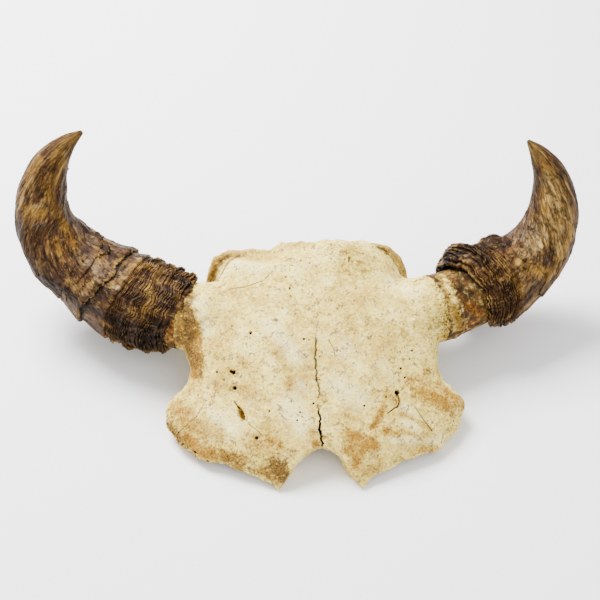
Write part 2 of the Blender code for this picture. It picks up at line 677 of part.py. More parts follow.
def horn_sheath(side):
    """The horn itself: stepped growth layers at the mouth, a fluted point, and a socket over the core."""
    mouth, end = SHEATH_MOUTH[side], spine_length(side)
    pitch = LAYER_PITCH[side]
    layered = LAYERS[side] * pitch

    def wavy_at(distance):
        return max(0.0, 1 - (distance - mouth) / (layered * WAVE_FADE))

    rings = []
    bottom = mouth + SOCKET_DEPTH + GAP
    for k in range(SOCKET_RINGS + 1):
        share = k / SOCKET_RINGS
        distance = bottom + (mouth - bottom) * share
        wall = core_radius(distance) + GAP + SOCKET_WIDEN * share ** 3
        lip = LIP_FLARE[side] * LIP_INSIDE * share ** 2
        rings.append(horn_ring(side, distance, lambda angle: wall + lip * max(0.0, math.cos(angle)),
                               share ** 2))
    for k in range(LAYERS[side]):
        near, far = mouth + k * pitch, mouth + (k + LAYER_SHARE) * pitch
        step = LAYER_STEP * (1 - LAYER_FADE * k / LAYERS[side])
        narrow = sheath_surface(side, far)
        rings.append(horn_ring(side, near, sheath_surface(side, near), wavy_at(near)))
        rings.append(horn_ring(side, far, lambda angle: narrow(angle) - step, wavy_at(far)))
    distance = mouth + layered
    while distance < end - TIP_ROOM:
        rings.append(horn_ring(side, distance, sheath_surface(side, distance), wavy_at(distance)))
        share = (distance - mouth) / (end - mouth)
        distance += RING_STEP + RING_GROWTH * interpolate(SHEATH_RADII[side], share)
    rings.append(horn_ring(side, end, sheath_surface(side, end)))
    return loft(f"horn_sheath_{side}", rings)


def rest_matrix():
    """From the skull frame, in millimetres, to the resting pose in metres, before centring."""
    return Matrix.Scale(MM, 4) @ Matrix.Translation((0, 0, REST_DROP)) @ Matrix.Rotation(REST_TILT, 4, "X")


def table_block():
    """The space under the table top, as a cutter in the skull frame."""
    undo = Matrix.Rotation(-REST_TILT, 4, "X") @ Matrix.Translation((0, 0, -REST_DROP))
    corners = ((-400, -300), (400, -300), (400, 500), (-400, 500))
    return prism("table", corners, -100, 0, undo)


def main():
    clear_scene()
    cores = [horn_core(side) for side in SPINES]
    sheaths = [horn_sheath(side) for side in SPINES]
    finishes = ((bones(), material("bleached_bone", BONE_COLOUR, 0.75)),
                (cores, material("stained_bone", BROWN_BONE, 0.7)),
                (sheaths, material("horn", HORN_COLOUR, 0.6)))
    placed = [item for items, _ in finishes for item in items]
    for items, finish in finishes:
        for item in items:
            item.data.transform(rest_matrix())
            item.data.materials.clear()
            item.data.materials.append(finish)
    xs = [v.co.x for item in placed for v in item.data.vertices]
    ys = [v.co.y for item in placed for v in item.data.vertices]
    centre = Vector(((min(xs) + max(xs)) / 2, (min(ys) + max(ys)) / 2, 0))
    for item in placed:
        item.data.transform(Matrix.Translation(-centre))
        item.data.update()
        item.data.shade_smooth()
        item.data.set_sharp_from_angle(angle=math.radians(40))


if __name__ == "__main__":
    main()
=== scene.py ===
import math
from contextlib import contextmanager
import bpy
import numpy as np
from mathutils import Matrix, Vector
from mathutils.bvhtree import BVHTree
from mathutils.kdtree import KDTree


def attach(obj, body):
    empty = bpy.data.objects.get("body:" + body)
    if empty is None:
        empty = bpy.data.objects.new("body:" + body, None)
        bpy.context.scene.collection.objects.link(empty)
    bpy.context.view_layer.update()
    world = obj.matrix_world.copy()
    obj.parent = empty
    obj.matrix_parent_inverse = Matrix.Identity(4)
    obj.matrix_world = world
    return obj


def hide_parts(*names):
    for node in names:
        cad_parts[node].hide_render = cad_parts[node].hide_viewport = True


# Half a bison skull on a pale table: weathered bone, stained horn cores and flaking horn sheaths.
# Lengths are in metres, except in the dictionaries that say millimetres. Right and left are the animal's.

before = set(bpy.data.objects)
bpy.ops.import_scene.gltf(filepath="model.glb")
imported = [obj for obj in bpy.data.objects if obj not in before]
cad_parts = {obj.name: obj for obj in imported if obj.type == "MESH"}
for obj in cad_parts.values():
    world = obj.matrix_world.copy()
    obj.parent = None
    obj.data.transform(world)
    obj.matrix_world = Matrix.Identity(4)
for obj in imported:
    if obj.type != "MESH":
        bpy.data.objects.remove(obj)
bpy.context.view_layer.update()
mm = 0.001


# Small helpers

def toLinear(hexText):
    # an sRGB hex value as linear red, green, blue, alpha
    parts = [int(hexText[i:i + 2], 16) / 255 for i in (1, 3, 5)]
    return tuple(p / 12.92 if p <= 0.04045 else ((p + 0.055) / 1.055) ** 2.4 for p in parts) + (1.0,)


def selectOnly(piece):
    bpy.ops.object.select_all(action="DESELECT")
    piece.select_set(True)
    bpy.context.view_layer.objects.active = piece


@contextmanager
def editing(piece, select="SELECT"):
    # mesh operators run inside it, on all of the piece unless something else is selected
    selectOnly(piece)
    bpy.ops.object.mode_set(mode="EDIT")
    if select:
        bpy.ops.mesh.select_all(action=select)
    yield
    bpy.ops.object.mode_set(mode="OBJECT")


def applyModifier(piece, kind, **settings):
    selectOnly(piece)
    modifier = piece.modifiers.new(kind, kind)
    for name, value in settings.items():
        setattr(modifier, name, value)
    bpy.ops.object.modifier_apply(modifier=modifier.name)


def readVectors(mesh, kind="co"):
    flat = np.empty(len(mesh.vertices) * 3, np.float32)
    mesh.vertices.foreach_get(kind, flat)
    return flat.reshape(-1, 3).astype(float)


def writePoints(mesh, points):
    mesh.vertices.foreach_set("co", points.astype(np.float32).ravel())
    mesh.update()


def paint(mesh, name, values):
    # one number per point of the mesh, which the material reads by its name
    made = mesh.attributes.get(name) or mesh.attributes.new(name, "FLOAT", "POINT")
    made.data.foreach_set("value", np.clip(values, 0, 1).astype(np.float32))


def softNoise(points, size, seed=0):
    # smooth noise from -1 to 1 with lumps of about that size
    spot = points / size + seed * 7.31
    cell = np.floor(spot)
    part = spot - cell
    part = part * part * (3 - 2 * part)
    total = np.zeros(len(points))
    for corner in range(8):
        step = np.array([corner & 1, corner >> 1 & 1, corner >> 2 & 1])
        mixed = (cell + step) @ np.array([127.1, 311.7, 74.7]) + seed * 13.7
        value = np.sin(mixed) * 43758.5453
        weight = np.prod(np.where(step == 1, part, 1 - part), axis=1)
        total += (value - np.floor(value)) * weight
    return total * 2 - 1


def lumpsOf(points, rows, seed):
    # lumps on lumps: their sizes and heights are in millimetres
    return sum(softNoise(points, size * mm, seed + k) * height * mm for k, (size, height) in enumerate(rows))


def smoothStep(low, high, values):
    share = np.clip((values - low) / (high - low), 0, 1)
    return share * share * (3 - 2 * share)


# Camera: above the forehead and a little to the animal's right, held with a slight tilt

camera = {
    "place": (-0.1070, -0.9523, 1.1792),
    "aim": (-0.0021, 0.0459, 0.0645),
    "roll": 2.7,  # degrees
    "lens": 79.2,  # millimetres
    "sensor": 36.0,
    "pixels": 600,  # width and height of the picture
    "pixel": 1.14,  # millimetres that a pixel covers on the forehead
}


def cameraAxes():
    back = (Vector(camera["place"]) - Vector(camera["aim"])).normalized()
    right = Vector((0, 0, 1)).cross(back).normalized()
    up = back.cross(right)
    turn = math.radians(camera["roll"])
    return right * math.cos(turn) + up * math.sin(turn), up * math.cos(turn) - right * math.sin(turn), back


def addCamera():
    lens = bpy.data.cameras.new("camera")
    lens.lens = camera["lens"]
    lens.sensor_width = camera["sensor"]
    eye = bpy.data.objects.new("camera", lens)
    bpy.context.scene.collection.objects.link(eye)
    matrix = Matrix(cameraAxes()).transposed().to_4x4()
    matrix.translation = camera["place"]
    eye.matrix_world = matrix
    bpy.context.scene.camera = eye


def treeOf(names):
    # the solids of those nodes, to feel for with rays
    points, faces = [], []
    for name in names:
        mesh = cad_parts[name].data
        start = len(points)
        points += [v.co.copy() for v in mesh.vertices]
        faces += [[start + i for i in p.vertices] for p in mesh.polygons]
    return BVHTree.FromPolygons(points, faces)


def spotUnder(tree, pixel):
    # where the line of sight through a pixel of the picture meets the surface, and which way that faces
    right, up, back = cameraAxes()
    size = camera["sensor"] / camera["lens"] / camera["pixels"]
    half = camera["pixels"] / 2
    sight = right * (pixel[0] - half) * size + up * (half - pixel[1]) * size - back
    place, normal, _, _ = tree.ray_cast(Vector(camera["place"]), sight.normalized())
    return (np.array(place), np.array(normal)) if place else None


def spotsUnder(tree, numbers):
    # the same for x, y, x, y and so on, without those that miss
    found = [spotUnder(tree, pixel) for pixel in zip(numbers[::2], numbers[1::2])]
    return [spot for spot in found if spot]


# Bones: each is its solid, rounded over its facets, skinned finely and then worn, pitted and cracked

bones = {
    "names": ("frontal_right", "frontal_left", "parietal", "occipital", "braincase", "temporal_right",
              "temporal_left"),
    "cores": ("horn_core_right", "horn_core_left"),
    "skin": {"frontal_right": 1.22 * mm, "frontal_left": 1.22 * mm, "other": 1.1 * mm},  # size of the faces
    "keepAngle": 50,  # degrees; sharper edges are where two bones meet, and stay
    "keepWidth": 6 * mm,
    "markEvery": 2 * mm,  # spacing of the marks along those edges
    "meetWithin": 1.5 * mm,  # an edge this near another bone is a seam, and the others are broken
    "softening": 14,
    "fineReach": 4 * mm,  # how far round the holes, cracks and the open seam the skin is finest
    "grow": 0.3 * mm,
    "lumps": ((14, 0.45), (5, 0.2), (2.4, 0.1)),  # millimetres: size and height
    "brokenLumps": ((7, 1.1), (3.2, 0.8), (1.7, 0.4)),  # the same along broken edges
    "brokenWidth": 7 * mm,
    "poreLumps": ((3, 0.7), (1.7, 0.5)),  # the same where the outer bone is gone
    "cutReach": 4 * mm,  # how far before and behind the surface a hole or crack is cut
    "holeEdge": (0.55, 1.3),  # where its edge starts and ends, in radii
    "holeRagged": (1.4 * mm, 0.18),  # size and share
    "crackEdge": (0.4, 1.4),
    "crackRagged": (1.6 * mm, 0.35 * mm),  # size and depth
    "crackShare": 0.8,  # how much of its depth is cut
    "seamReach": 2.2 * mm,  # how near another bone the rims are drawn together
    "seamLap": 0.8 * mm,  # how far they lap over each other
    "suture": ((0.98, 317, 341, 316, 375, 318, 392), (1.25, 318, 400, 318.5, 418, 321, 446)),  # how open, pixels
    "sutureReach": 7,  # millimetres
    "teeth": ((8, 1.1), (3.6, 1.5), (1.9, 0.9)),  # its jagged course: size and height
    "sutureGap": 0.05 * mm,  # how much wider it is than the others
    "backLumps": ((26, 1.8), (11, 1.7), (5, 1.0), (2.2, 0.4)),  # where the neck muscles held
    "backCrest": (4.5, 4.5, 60, 104, 8),  # its middle ridge: height, half width, lowest and highest place, fade
    "backHollows": (5.5, 34, 80, 17),  # beside it: depth, distance from the middle, height, radius
    "backFacing": (0.3, 0.7),  # how squarely a surface faces back, where all this starts and is full
    "backSoil": (19 * mm, 0.45),  # size and strength of its stains
    "hollowDepth": (10 * mm, 60 * mm),  # the soil and painted shade fade where the wall across a hollow is this far
    "hollowTilt": 0.7,  # how far the lines that feel for that wall lean
    "hollowSoilAndShade": 1.3,  # strength of the soil and painted shade there
    "hollowShade": (0.45, 0.85, 0.75),  # painted shade: the value of soil and shade from which it darkens, and is darkest, and how much
}

# Where the picture's outline runs beside the solid's: pixel, radius in millimetres, shift in pixels
boneNudges = (
    (244, 252, 12, 0, 4.5), (258, 251, 12, 0, 7), (271, 250, 12, 0, 9.5), (284, 249, 11, 0, 1.5),
    (300, 249, 12, 0, 1.8), (218, 259, 12, -2, -2), (338, 246, 14, 0, -1.5), (386, 250, 8, .5, -1.5),
    (174, 404, 13, -4, -1), (171, 425, 12, -3, 1), (182, 444, 10, -1.5, 1), (206, 455, 13, 0, 4.5),
    (240, 465, 12, -1, 3), (262, 472, 9, -1, 2), (434, 446, 13, 2, 4.5), (414, 452, 11, 0, 3),
    (392, 464, 10, 0, 2.5), (459, 404, 13, 4.5, -1), (456, 426, 11, 2, 1), (341, 460, 8, 3, -2),
)

# Holes seen in the picture: pixel, radius and depth in millimetres
boneHoles = (
    (250.5, 333, 1.7, 6), (304, 339, 1.2, 4), (233.5, 372.4, 2.2, 6), (230.8, 371.6, 1.6, 5), (234.8, 388.2, 2.1, 6),
    (216.7, 372, 1.2, 3), (224, 380, .9, 2), (269.3, 411, 1.1, 3), (300, 412.3, 1, 3), (297.3, 420.4, 1, 3),
    (313.5, 403.5, 1.1, 3), (256.8, 438, 2, 2), (397.3, 392.5, 2.7, 8), (401, 368.4, 1.3, 4), (405, 377.6, 1.2, 4),
    (412.3, 350.6, 1.3, 3), (410, 359, 1, 2), (386.2, 397, 1.1, 3), (364.5, 405.7, 1.2, 3), (345.3, 260, 1.2, 3),
    (348.7, 260.2, .9, 2), (289.7, 288.2, 1.2, 2), (309.8, 262.8, .9, 2), (301, 260.3, .9, 2), (286, 277, .9, 2),
    (309, 340, .9, 2), (195.2, 450.5, 1.6, 2), (207.4, 456.5, 1.6, 3), (169.8, 423.4, 1.4, 3), (171.8, 429, 1.2, 2),
    (178, 437, 1.1, 2), (184, 443.5, 1.2, 2),
)

# Cracks and grooves: half width at each end and depth in millimetres, then the pixels they pass
boneCracks = (
    (.7, .5, 1.4, 229.5, 289.5, 245.4, 287, 264, 280.4, 272.6, 271.2),
    (.4, .5, .9, 206.4, 400, 196.6, 417, 179.3, 432.4), (.5, .9, 1.2, 415, 407, 424, 420, 432.3, 430.4),
    (.3, .3, .6, 430, 394, 436, 402, 442, 411), (.5, .6, 1.2, 328.7, 339.5, 334.2, 350.4, 335.2, 357),
    (.5, .3, .9, 245.4, 419.4, 252, 427, 259.5, 432.4), (1.2, .9, 3, 398, 395, 399.8, 401.7, 398, 406.6),
    (1.3, .6, 2.2, 398, 406.6, 393.8, 408.7, 387.8, 413.6), (.5, 1.2, 2.5, 233.8, 401, 236.5, 404.5, 238.3, 407.5),
    (1.2, 2.9, 5.5, 238.3, 407, 240.6, 411, 241.6, 415), (2.9, 1.8, 6, 241.4, 414, 242.8, 417.5, 243.4, 419.5),
)

# Porous places, from which the smooth outer bone is gone: strength, radius in millimetres, pixels of the stroke
bonePores = (
    (1, 4, 168, 412, 170, 424, 177, 438, 188, 449), (.8, 4, 188, 449, 232, 466),
    (.6, 4, 461, 402, 458, 412, 447, 430), (1.1, 9, 441, 280, 449, 296, 450, 316, 444, 334),
    (.9, 4, 183, 305, 187, 325, 180, 338), (.3, 5, 340, 246, 358, 250), (.4, 6, 178, 433, 190, 446),
    (.5, 5, 432, 345, 425, 330), (.4, 5, 233, 464, 262, 474), (.35, 5, 366, 478),
)

# Stains: strength, radius in millimetres, pixels of the stroke
boneStains = {
    "white": (
        (.8, 13, 290, 405, 302, 425), (.7, 11, 272, 330, 296, 355), (.7, 10, 216, 418, 234, 430),
        (.7, 12, 338, 386, 360, 400), (.6, 13, 345, 350), (.7, 5, 404, 406, 415, 416), (.7, 5, 404, 421, 417, 430),
        (.6, 5, 250, 405), (.7, 5, 392, 440, 441, 437), (.5, 10, 390, 280, 410, 290), (.6, 10, 235, 262, 260, 268),
        (.5, 10, 200, 300, 205, 330), (.5, 8, 306, 265), (.6, 9, 300, 385), (.5, 8, 325, 340),
        (.5, 7, 380, 365, 395, 380),
    ),
    "yellow": (
        (.55, 12, 342, 262, 368, 272), (.4, 9, 424, 300, 434, 312),
        (1, 11, 440, 279, 447, 290, 451, 304, 450, 320, 446, 334), (.5, 10, 436, 300, 438, 325),
        (.4, 8, 425, 365, 432, 390), (.35, 10, 335, 285, 345, 320), (.3, 10, 215, 350, 230, 380),
        (.35, 8, 270, 430, 250, 445), (.35, 9, 370, 320, 400, 335), (.3, 9, 325, 275), (1, 7, 443, 340),
        (.6, 6, 195, 290, 192, 330), (.4, 9, 400, 385, 415, 395), (.3, 10, 300, 275, 290, 295),
        (.4, 8, 440, 310, 436, 330),
    ),
    "tan": (
        (.8, 7, 212, 383, 225, 388, 250, 387), (.6, 7, 268, 342, 280, 350), (.8, 6, 275, 352, 288, 370, 290, 385),
        (.6, 7, 300, 372, 306, 378), (.8, 5, 373, 428, 381, 412, 385, 399), (.7, 4, 349, 416, 361, 421),
        (.7, 5, 413, 386, 426, 392), (.8, 9, 258, 466, 279, 470), (.6, 6, 346, 250, 357, 252),
        (.6, 5, 361, 262, 367, 263), (.6, 4, 280, 277, 284, 280), (1.1, 12, 180, 410, 200, 428, 216, 436),
        (.9, 9, 190, 440, 225, 456), (.8, 8, 200, 452, 240, 462), (.7, 6, 421, 447, 432, 448),
        (.4, 10, 225, 320, 235, 335), (.4, 9, 355, 300, 352, 280), (.4, 8, 380, 350, 395, 365),
        (.6, 5, 322, 395, 330, 415), (.5, 9, 205, 395, 196, 405), (.5, 8, 320, 250, 335, 247),
        (.4, 10, 280, 300, 300, 310), (.6, 5, 232, 371, 236, 376), (.8, 7, 360, 476, 380, 466), (.7, 6, 400, 460),
        (.9, 6, 270, 478, 283, 484), (1.5, 6, 211, 279, 215, 269, 222, 259, 231, 252.5, 239, 249.5),
        (1.3, 5, 384, 247, 393, 253, 400, 262, 404, 273), (.7, 9, 250, 445, 290, 452), (.8, 6, 193, 385, 186, 395),
        (.7, 5, 437, 372, 446, 392),
    ),
    "orange": (
        (1.1, 7, 188, 288, 188, 310), (1.4, 10, 184, 316, 186, 340), (1.3, 9, 174, 342, 190, 348),
        (1.5, 9, 192, 326, 196, 350, 196, 372), (.8, 6, 311, 432, 317, 447), (.8, 6, 272, 440, 279, 446),
        (1.1, 9, 350, 436, 372, 444), (.9, 7, 359, 455, 363, 441), (.9, 7, 349, 450, 356, 462),
        (.8, 5, 383, 431, 397, 434), (.55, 4, 404, 432, 417, 434), (.7, 5, 420, 436, 432, 431),
        (.8, 3, 401, 414.7, 412, 417), (.6, 2.5, 414, 419, 427, 425.5), (.7, 3, 427, 426, 433, 431),
        (1, 9, 424, 392, 450, 408), (.9, 7, 448, 394, 460, 404), (.6, 9, 408, 380, 430, 388),
        (.7, 4, 322, 437, 328, 443), (1, 6, 171, 424, 179, 436), (1, 7, 186, 436, 198, 448),
        (.7, 6, 237, 464, 243, 466), (1, 2.6, 240.5, 410, 241.5, 416), (.8, 4, 454, 306, 454, 322),
        (.6, 4, 448, 330, 443, 340), (.6, 6, 412, 388, 424, 375), (.7, 5, 386, 392, 396, 400),
        (.7, 5, 374, 426, 383, 410), (.75, 9, 206, 450, 245, 460), (.6, 9, 176, 405, 186, 425),
        (.5, 5, 240, 360, 250, 372), (.5, 8, 262, 466, 282, 476), (.5, 6, 418, 446, 434, 446),
        (.6, 7, 436, 384, 447, 396),
    ),
    "brown": (
        (.9, 7, 189, 290, 188, 312), (1.3, 7, 186, 306, 190, 320, 190, 336), (1, 6, 178, 340, 190, 350, 192, 364),
        (.6, 6, 176, 322, 174, 344), (1.1, 9, 274, 464, 286, 478), (.35, 5, 232, 466), (.8, 8, 193, 348, 200, 374),
        (.5, 10, 226, 460, 262, 470), (.5, 10, 258, 468, 284, 476), (.5, 8, 172, 424, 182, 440),
        # the thin strokes from pixel 218, 281 and from 377.5, 247.5 are brown stain and painted shade in the groove
        # between each crest rim and the forehead
        (.4, 5, 452, 296, 456, 330), (1, 1.7, 218, 281, 223, 271.5, 230, 261.5, 239, 252.5),
        (1, 3.6, 212, 281, 216, 271, 222, 262), (.8, 2.4, 222, 262, 232, 254),
        (1, 1.9, 377.5, 247.5, 386, 253, 393, 261, 399.5, 273), (.7, 1.5, 347, 269.5, 351, 277),
        (.9, 3, 170, 334, 178, 342), (.7, 3, 191, 350, 193, 356), (.8, 1.6, 193, 449.5, 197, 451.5),
        (.6, 1.5, 169, 422, 171, 431), (.9, 2.5, 454, 334, 457, 326), (.7, 2.5, 191, 286),
        (.7, 2, 444, 276, 452, 288, 457, 300), (.6, 2, 357, 482),
    ),
}


def sharpEdgeMarks(piece, others):
    # marks along the sharp edges that are broken, and along all of them
    with editing(piece, "DESELECT"):
        bpy.ops.mesh.select_mode(type="EDGE")
        bpy.ops.mesh.edges_select_sharp(sharpness=math.radians(bones["keepAngle"]))
        bpy.ops.transform.edge_crease(value=1)
    mesh = piece.data
    marks = []
    for edge in mesh.edges:
        if edge.select:
            a, b = (mesh.vertices[i].co for i in edge.vertices)
            count = max(1, int((b - a).length / bones["markEvery"]))
            marks += [a.lerp(b, k / count) for k in range(count + 1)]
    broken = [mark for mark in marks if others.find_nearest(mark, bones["meetWithin"])[0] is None]
    return broken, marks


def nearness(points, marks, reach):
    # 1 at the marks, fading to 0 at that reach
    tree = KDTree(len(marks))
    for i, mark in enumerate(marks):
        tree.insert(mark, i)
    tree.balance()
    far = np.array([tree.find(p)[2] for p in points])
    return 1 - smoothStep(0.3 * reach, reach, far)


def finelySkinned(node, others, spots):
    # a fine, even skin over a copy of the solid, finest beside the holes, cracks and the open seam
    piece = bpy.data.objects.new("bone_" + node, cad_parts[node].data.copy())
    bpy.context.scene.collection.objects.link(piece)
    with editing(piece):
        bpy.ops.mesh.remove_doubles(threshold=1e-6)
    broken, marks = sharpEdgeMarks(piece, others)
    skin = bones["skin"].get(node, bones["skin"]["other"])
    applyModifier(piece, "SUBSURF", levels=2, render_levels=2)
    applyModifier(piece, "REMESH", mode="VOXEL", voxel_size=skin)
    group = piece.vertex_groups.new(name="soften")
    for i, keep in enumerate(nearness(readVectors(piece.data), marks, bones["keepWidth"])):
        group.add([i], float(1 - keep), "REPLACE")
    applyModifier(piece, "SMOOTH", factor=0.5, iterations=bones["softening"], vertex_group="soften")
    applyModifier(piece, "SMOOTH", factor=0.5, iterations=2)
    piece.vertex_groups.clear()
    fine = nearness(readVectors(piece.data), spots, bones["fineReach"]) > 0
    with editing(piece, "DESELECT"):
        bpy.ops.mesh.select_mode(type="VERT")
    piece.data.vertices.foreach_set("select", fine)
    with editing(piece, None):
        bpy.ops.mesh.subdivide(number_cuts=1)
    return piece, broken


def nudged(points, rows, tree):
    # places near each pixel, shifted sideways in the picture
    right, up, _ = (np.array(axis) for axis in cameraAxes())
    shift = np.zeros((len(points), 3))
    for x, y, radius, dx, dy in rows:
        for place, _ in spotsUnder(tree, (x, y)):
            weight = np.exp(-(np.linalg.norm(points - place, axis=1) / (radius * mm)) ** 2)
            shift += np.outer(weight, (right * dx - up * dy) * camera["pixel"] * mm)
    return points + shift


def segmentShare(points, a, b):
    # how far along the segment each point's nearest spot lies, and the way from there to the point
    along = b - a
    share = np.clip(((points - a) @ along) / max(along @ along, 1e-12), 0, 1)
    return share, points - (a + share[:, None] * along)


def strokes(points, rows, tree):
    # how strongly strokes of the brush, drawn in the picture, mark each point
    total = np.zeros(len(points))
    for strength, radius, *numbers in rows:
        spots = [place for place, _ in spotsUnder(tree, numbers)]
        far = np.full(len(points), 1.0)
        for a, b in zip(spots, spots[1:] or spots):
            far = np.minimum(far, np.linalg.norm(segmentShare(points, a, b)[1], axis=1))
        total = np.maximum(total, strength * np.exp(-(far / (radius * mm)) ** 2 * 0.8))
    return total


def openSeam(points, tree):
    # 1 beside the part of the forehead's seam that the picture shows open
    rows = [(share, bones["sutureReach"], *numbers) for share, *numbers in bones["suture"]]
    return smoothStep(0.15, 1.2, strokes(points, rows, tree))


def seamShift(points, normals, others, opening):
    # draws the rims of two bones together where they meet, and apart along the open seam
    shift = np.zeros((len(points), 3))
    wall = np.zeros(len(points))
    for i, (point, normal) in enumerate(zip(points, normals)):
        near, _, _, far = others.find_nearest(point, bones["seamReach"])
        if near is None or far < 1e-6:
            continue
        toward = (np.array(near) - point) / far
        facing = min(1.0, max(0.0, (normal @ toward - 0.1) / 0.4))
        shift[i] = toward * facing * ((far + bones["seamLap"]) * (1 - opening[i]) - bones["sutureGap"] * opening[i])
        wall[i] = facing
    return shift, wall


def fineSpots(tree):
    # places where the skin has to be finest
    found = [spotUnder(tree, (x, y)) for x, y, _, _ in boneHoles]
    for numbers in [row[3:] for row in boneCracks] + [row[1:] for row in bones["suture"]]:
        pixels = list(zip(numbers[::2], numbers[1::2]))
        for (x1, y1), (x2, y2) in zip(pixels, pixels[1:]):
            count = max(1, int(math.hypot(x2 - x1, y2 - y1) / 2))
            found += [spotUnder(tree, (x1 + (x2 - x1) * k / count, y1 + (y2 - y1) * k / count))
                      for k in range(count + 1)]
    return [spot[0] for spot in found if spot]


def cutOpen(points, tree):
    # how far the holes, cracks and grooves sink each point, and the painted shade in them
    sink, paintedShade = np.zeros((len(points), 3)), np.zeros(len(points))
    size, share = bones["holeRagged"]
    ragged = 1 + share * softNoise(points, size, 5)
    start, end = bones["holeEdge"]
    for x, y, radius, depth in boneHoles:
        place, normal = spotUnder(tree, (x, y))
        height = (points - place) @ normal
        across = np.linalg.norm(points - place - np.outer(height, normal), axis=1) * ragged
        inside = 1 - smoothStep(start * radius * mm, end * radius * mm, across)
        inside *= np.abs(height) < bones["cutReach"]
        sink -= np.outer(inside * depth * mm, normal)
        paintedShade = np.maximum(paintedShade, smoothStep(0.15, 0.6, inside))
    size, depth = bones["crackRagged"]
    ragged = np.abs(softNoise(points, size, 9)) * depth
    for wide, narrow, depth, *numbers in boneCracks:
        spots = spotsUnder(tree, numbers)
        for k, ((a, normal), (b, _)) in enumerate(zip(spots, spots[1:])):
            share, away = segmentShare(points, a, b)
            height = away @ normal
            across = np.linalg.norm(away - np.outer(height, normal), axis=1) + ragged
            half = (wide + (narrow - wide) * (k + share) / (len(spots) - 1)) * mm
            inside = (1 - smoothStep(*bones["crackEdge"], across / half)) * (np.abs(height) < bones["cutReach"])
            sink -= np.outer(inside * depth * mm * bones["crackShare"], normal)
            # painted shade: shallow cracks are painted darker, as their real shade is slight
            paintedShade = np.maximum(paintedShade, inside * (0.9 if depth < 5 else 0.15))
    return sink, paintedShade


def backRelief(points, behind):
    # the rugged back of the head: lumps, a middle ridge and a shallow hollow on each side of it
    aside = np.abs(points[:, 0] / mm + skullPose["centre"][0])
    level = points[:, 2] / mm
    tall, half, low, high, fade = bones["backCrest"]
    inside = smoothStep(low - fade, low + fade, level) * (1 - smoothStep(high - fade, high + fade, level))
    deep, far, middle, radius = bones["backHollows"]
    hollow = np.exp(-((aside - far) / radius) ** 2 - ((level - middle) / radius) ** 2)
    ridge = np.exp(-(aside / half) ** 2) * inside
    return (lumpsOf(points, bones["backLumps"], 70) + (tall * ridge - deep * hollow) * mm) * behind


def hollowness(points, normals, tree):
    # how closed in each point is, where the picture doesn't see it
    low, high = bones["hollowDepth"]
    lean = bones["hollowTilt"]
    leans = [Vector(step) for step in ((0, 0, 0), (lean, 0, 0), (-lean, 0, 0), (0, lean, 0), (0, -lean, 0))]
    closed = np.zeros(len(points))
    for i in np.nonzero(normals @ np.array(cameraAxes()[2]) < 0.1)[0]:
        normal = Vector(normals[i])
        start = Vector(points[i]) + normal * mm
        for step in leans:
            far = tree.ray_cast(start, (normal + step).normalized(), high)[3]
            closed[i] += 0 if far is None else 1 - smoothStep(low, high, far)
    return closed / len(leans)


def makeBone(node, tree, spots):
    others = treeOf([name for name in bones["names"] + bones["cores"] if name != node])
    piece, broken = finelySkinned(node, others, spots)
    mesh = piece.data
    points, normals = readVectors(mesh), readVectors(mesh, "normal")
    opening = openSeam(points, tree)
    shift, wall = seamShift(points, normals, others, opening)
    behind = smoothStep(*bones["backFacing"], normals[:, 1])
    lift = bones["grow"] + lumpsOf(points, bones["lumps"], 0) + backRelief(points, behind)
    if broken:
        lift += nearness(points, broken, bones["brokenWidth"]) * lumpsOf(points, bones["brokenLumps"], 60)
    porous = strokes(points, bonePores, tree)
    for k, (size, height) in enumerate(bones["poreLumps"]):
        lift -= porous * np.abs(softNoise(points, size * mm, 21 + k)) * height * mm
    sink, paintedShade = cutOpen(points, tree)
    places = points + normals * lift[:, None] + sink + shift
    along = points * (0, 1, 0)
    places[:, 0] += opening * lumpsOf(along, bones["teeth"], 40)
    places = nudged(places, boneNudges, tree)
    places[:, 2] = np.maximum(places[:, 2], 0)
    writePoints(mesh, places)
    # soil stains on the back, and soil and painted shade, browner the more closed in a place is
    soil = hollowness(points, normals, tree)
    size, strength = bones["backSoil"]
    patches = smoothStep(0.0, 0.7, softNoise(points, size, 80)) * behind
    paint(mesh, "soil", soil * bones["hollowSoilAndShade"] + strength * patches)
    # painted shade: near black in the holes and cracks, on the open seam's walls and deep in closed-in hollows
    start, full, most = bones["hollowShade"]
    paint(mesh, "paintedShade", np.maximum.reduce([paintedShade, wall * opening, most * smoothStep(start, full, soil)]))
    paint(mesh, "porous", porous)
    for name, rows in boneStains.items():
        paint(mesh, name, strokes(points, rows, tree))
    mesh.shade_smooth()
    return piece


def makeBones():
    tree = treeOf(bones["names"] + bones["cores"])
    spots = fineSpots(tree)
    for node in bones["names"]:
        piece = makeBone(node, tree, spots)
        finishPiece(piece, boneMaterial, node)
        print("bone", node, len(piece.data.vertices), "points")


# Horns: the routes run from inside the forehead to the tips, in millimetres of the skull's own frame, with
# x to the animal's left, y to the back of the head and z out of the forehead. Angles round a horn are 0 at the
# back of the head. Lines round it are given by the pixels that they pass; on the side that the picture doesn't
# show, the mouth follows the solid's: its mean distance along the route, and how that changes with the cosine
# and sine of once and twice the angle.

skullPose = {"tilt": 25, "drop": 64.5, "centre": (-7.91, 91.06)}  # degrees, then millimetres

core = {
    "radius": 39.0,
    "taper": 0.05,
    "burr": 60,  # where the knotted ring at its foot is
    "buried": 2.5,
    "socket": 46,  # how deep it reaches into the sheath
    "furrows": ((0.5, 6, 31, 5), (0.35, 2.6, 32, 6)),  # height, size, seed, and length for their width
    "pits": (1.3, 3.2, 33, 1.6),  # depth, size, seed, and length for their width
    "knots": ((1.2, 7, 34), (0.6, 3, 35)),
    "knotHeight": 1.2,
}

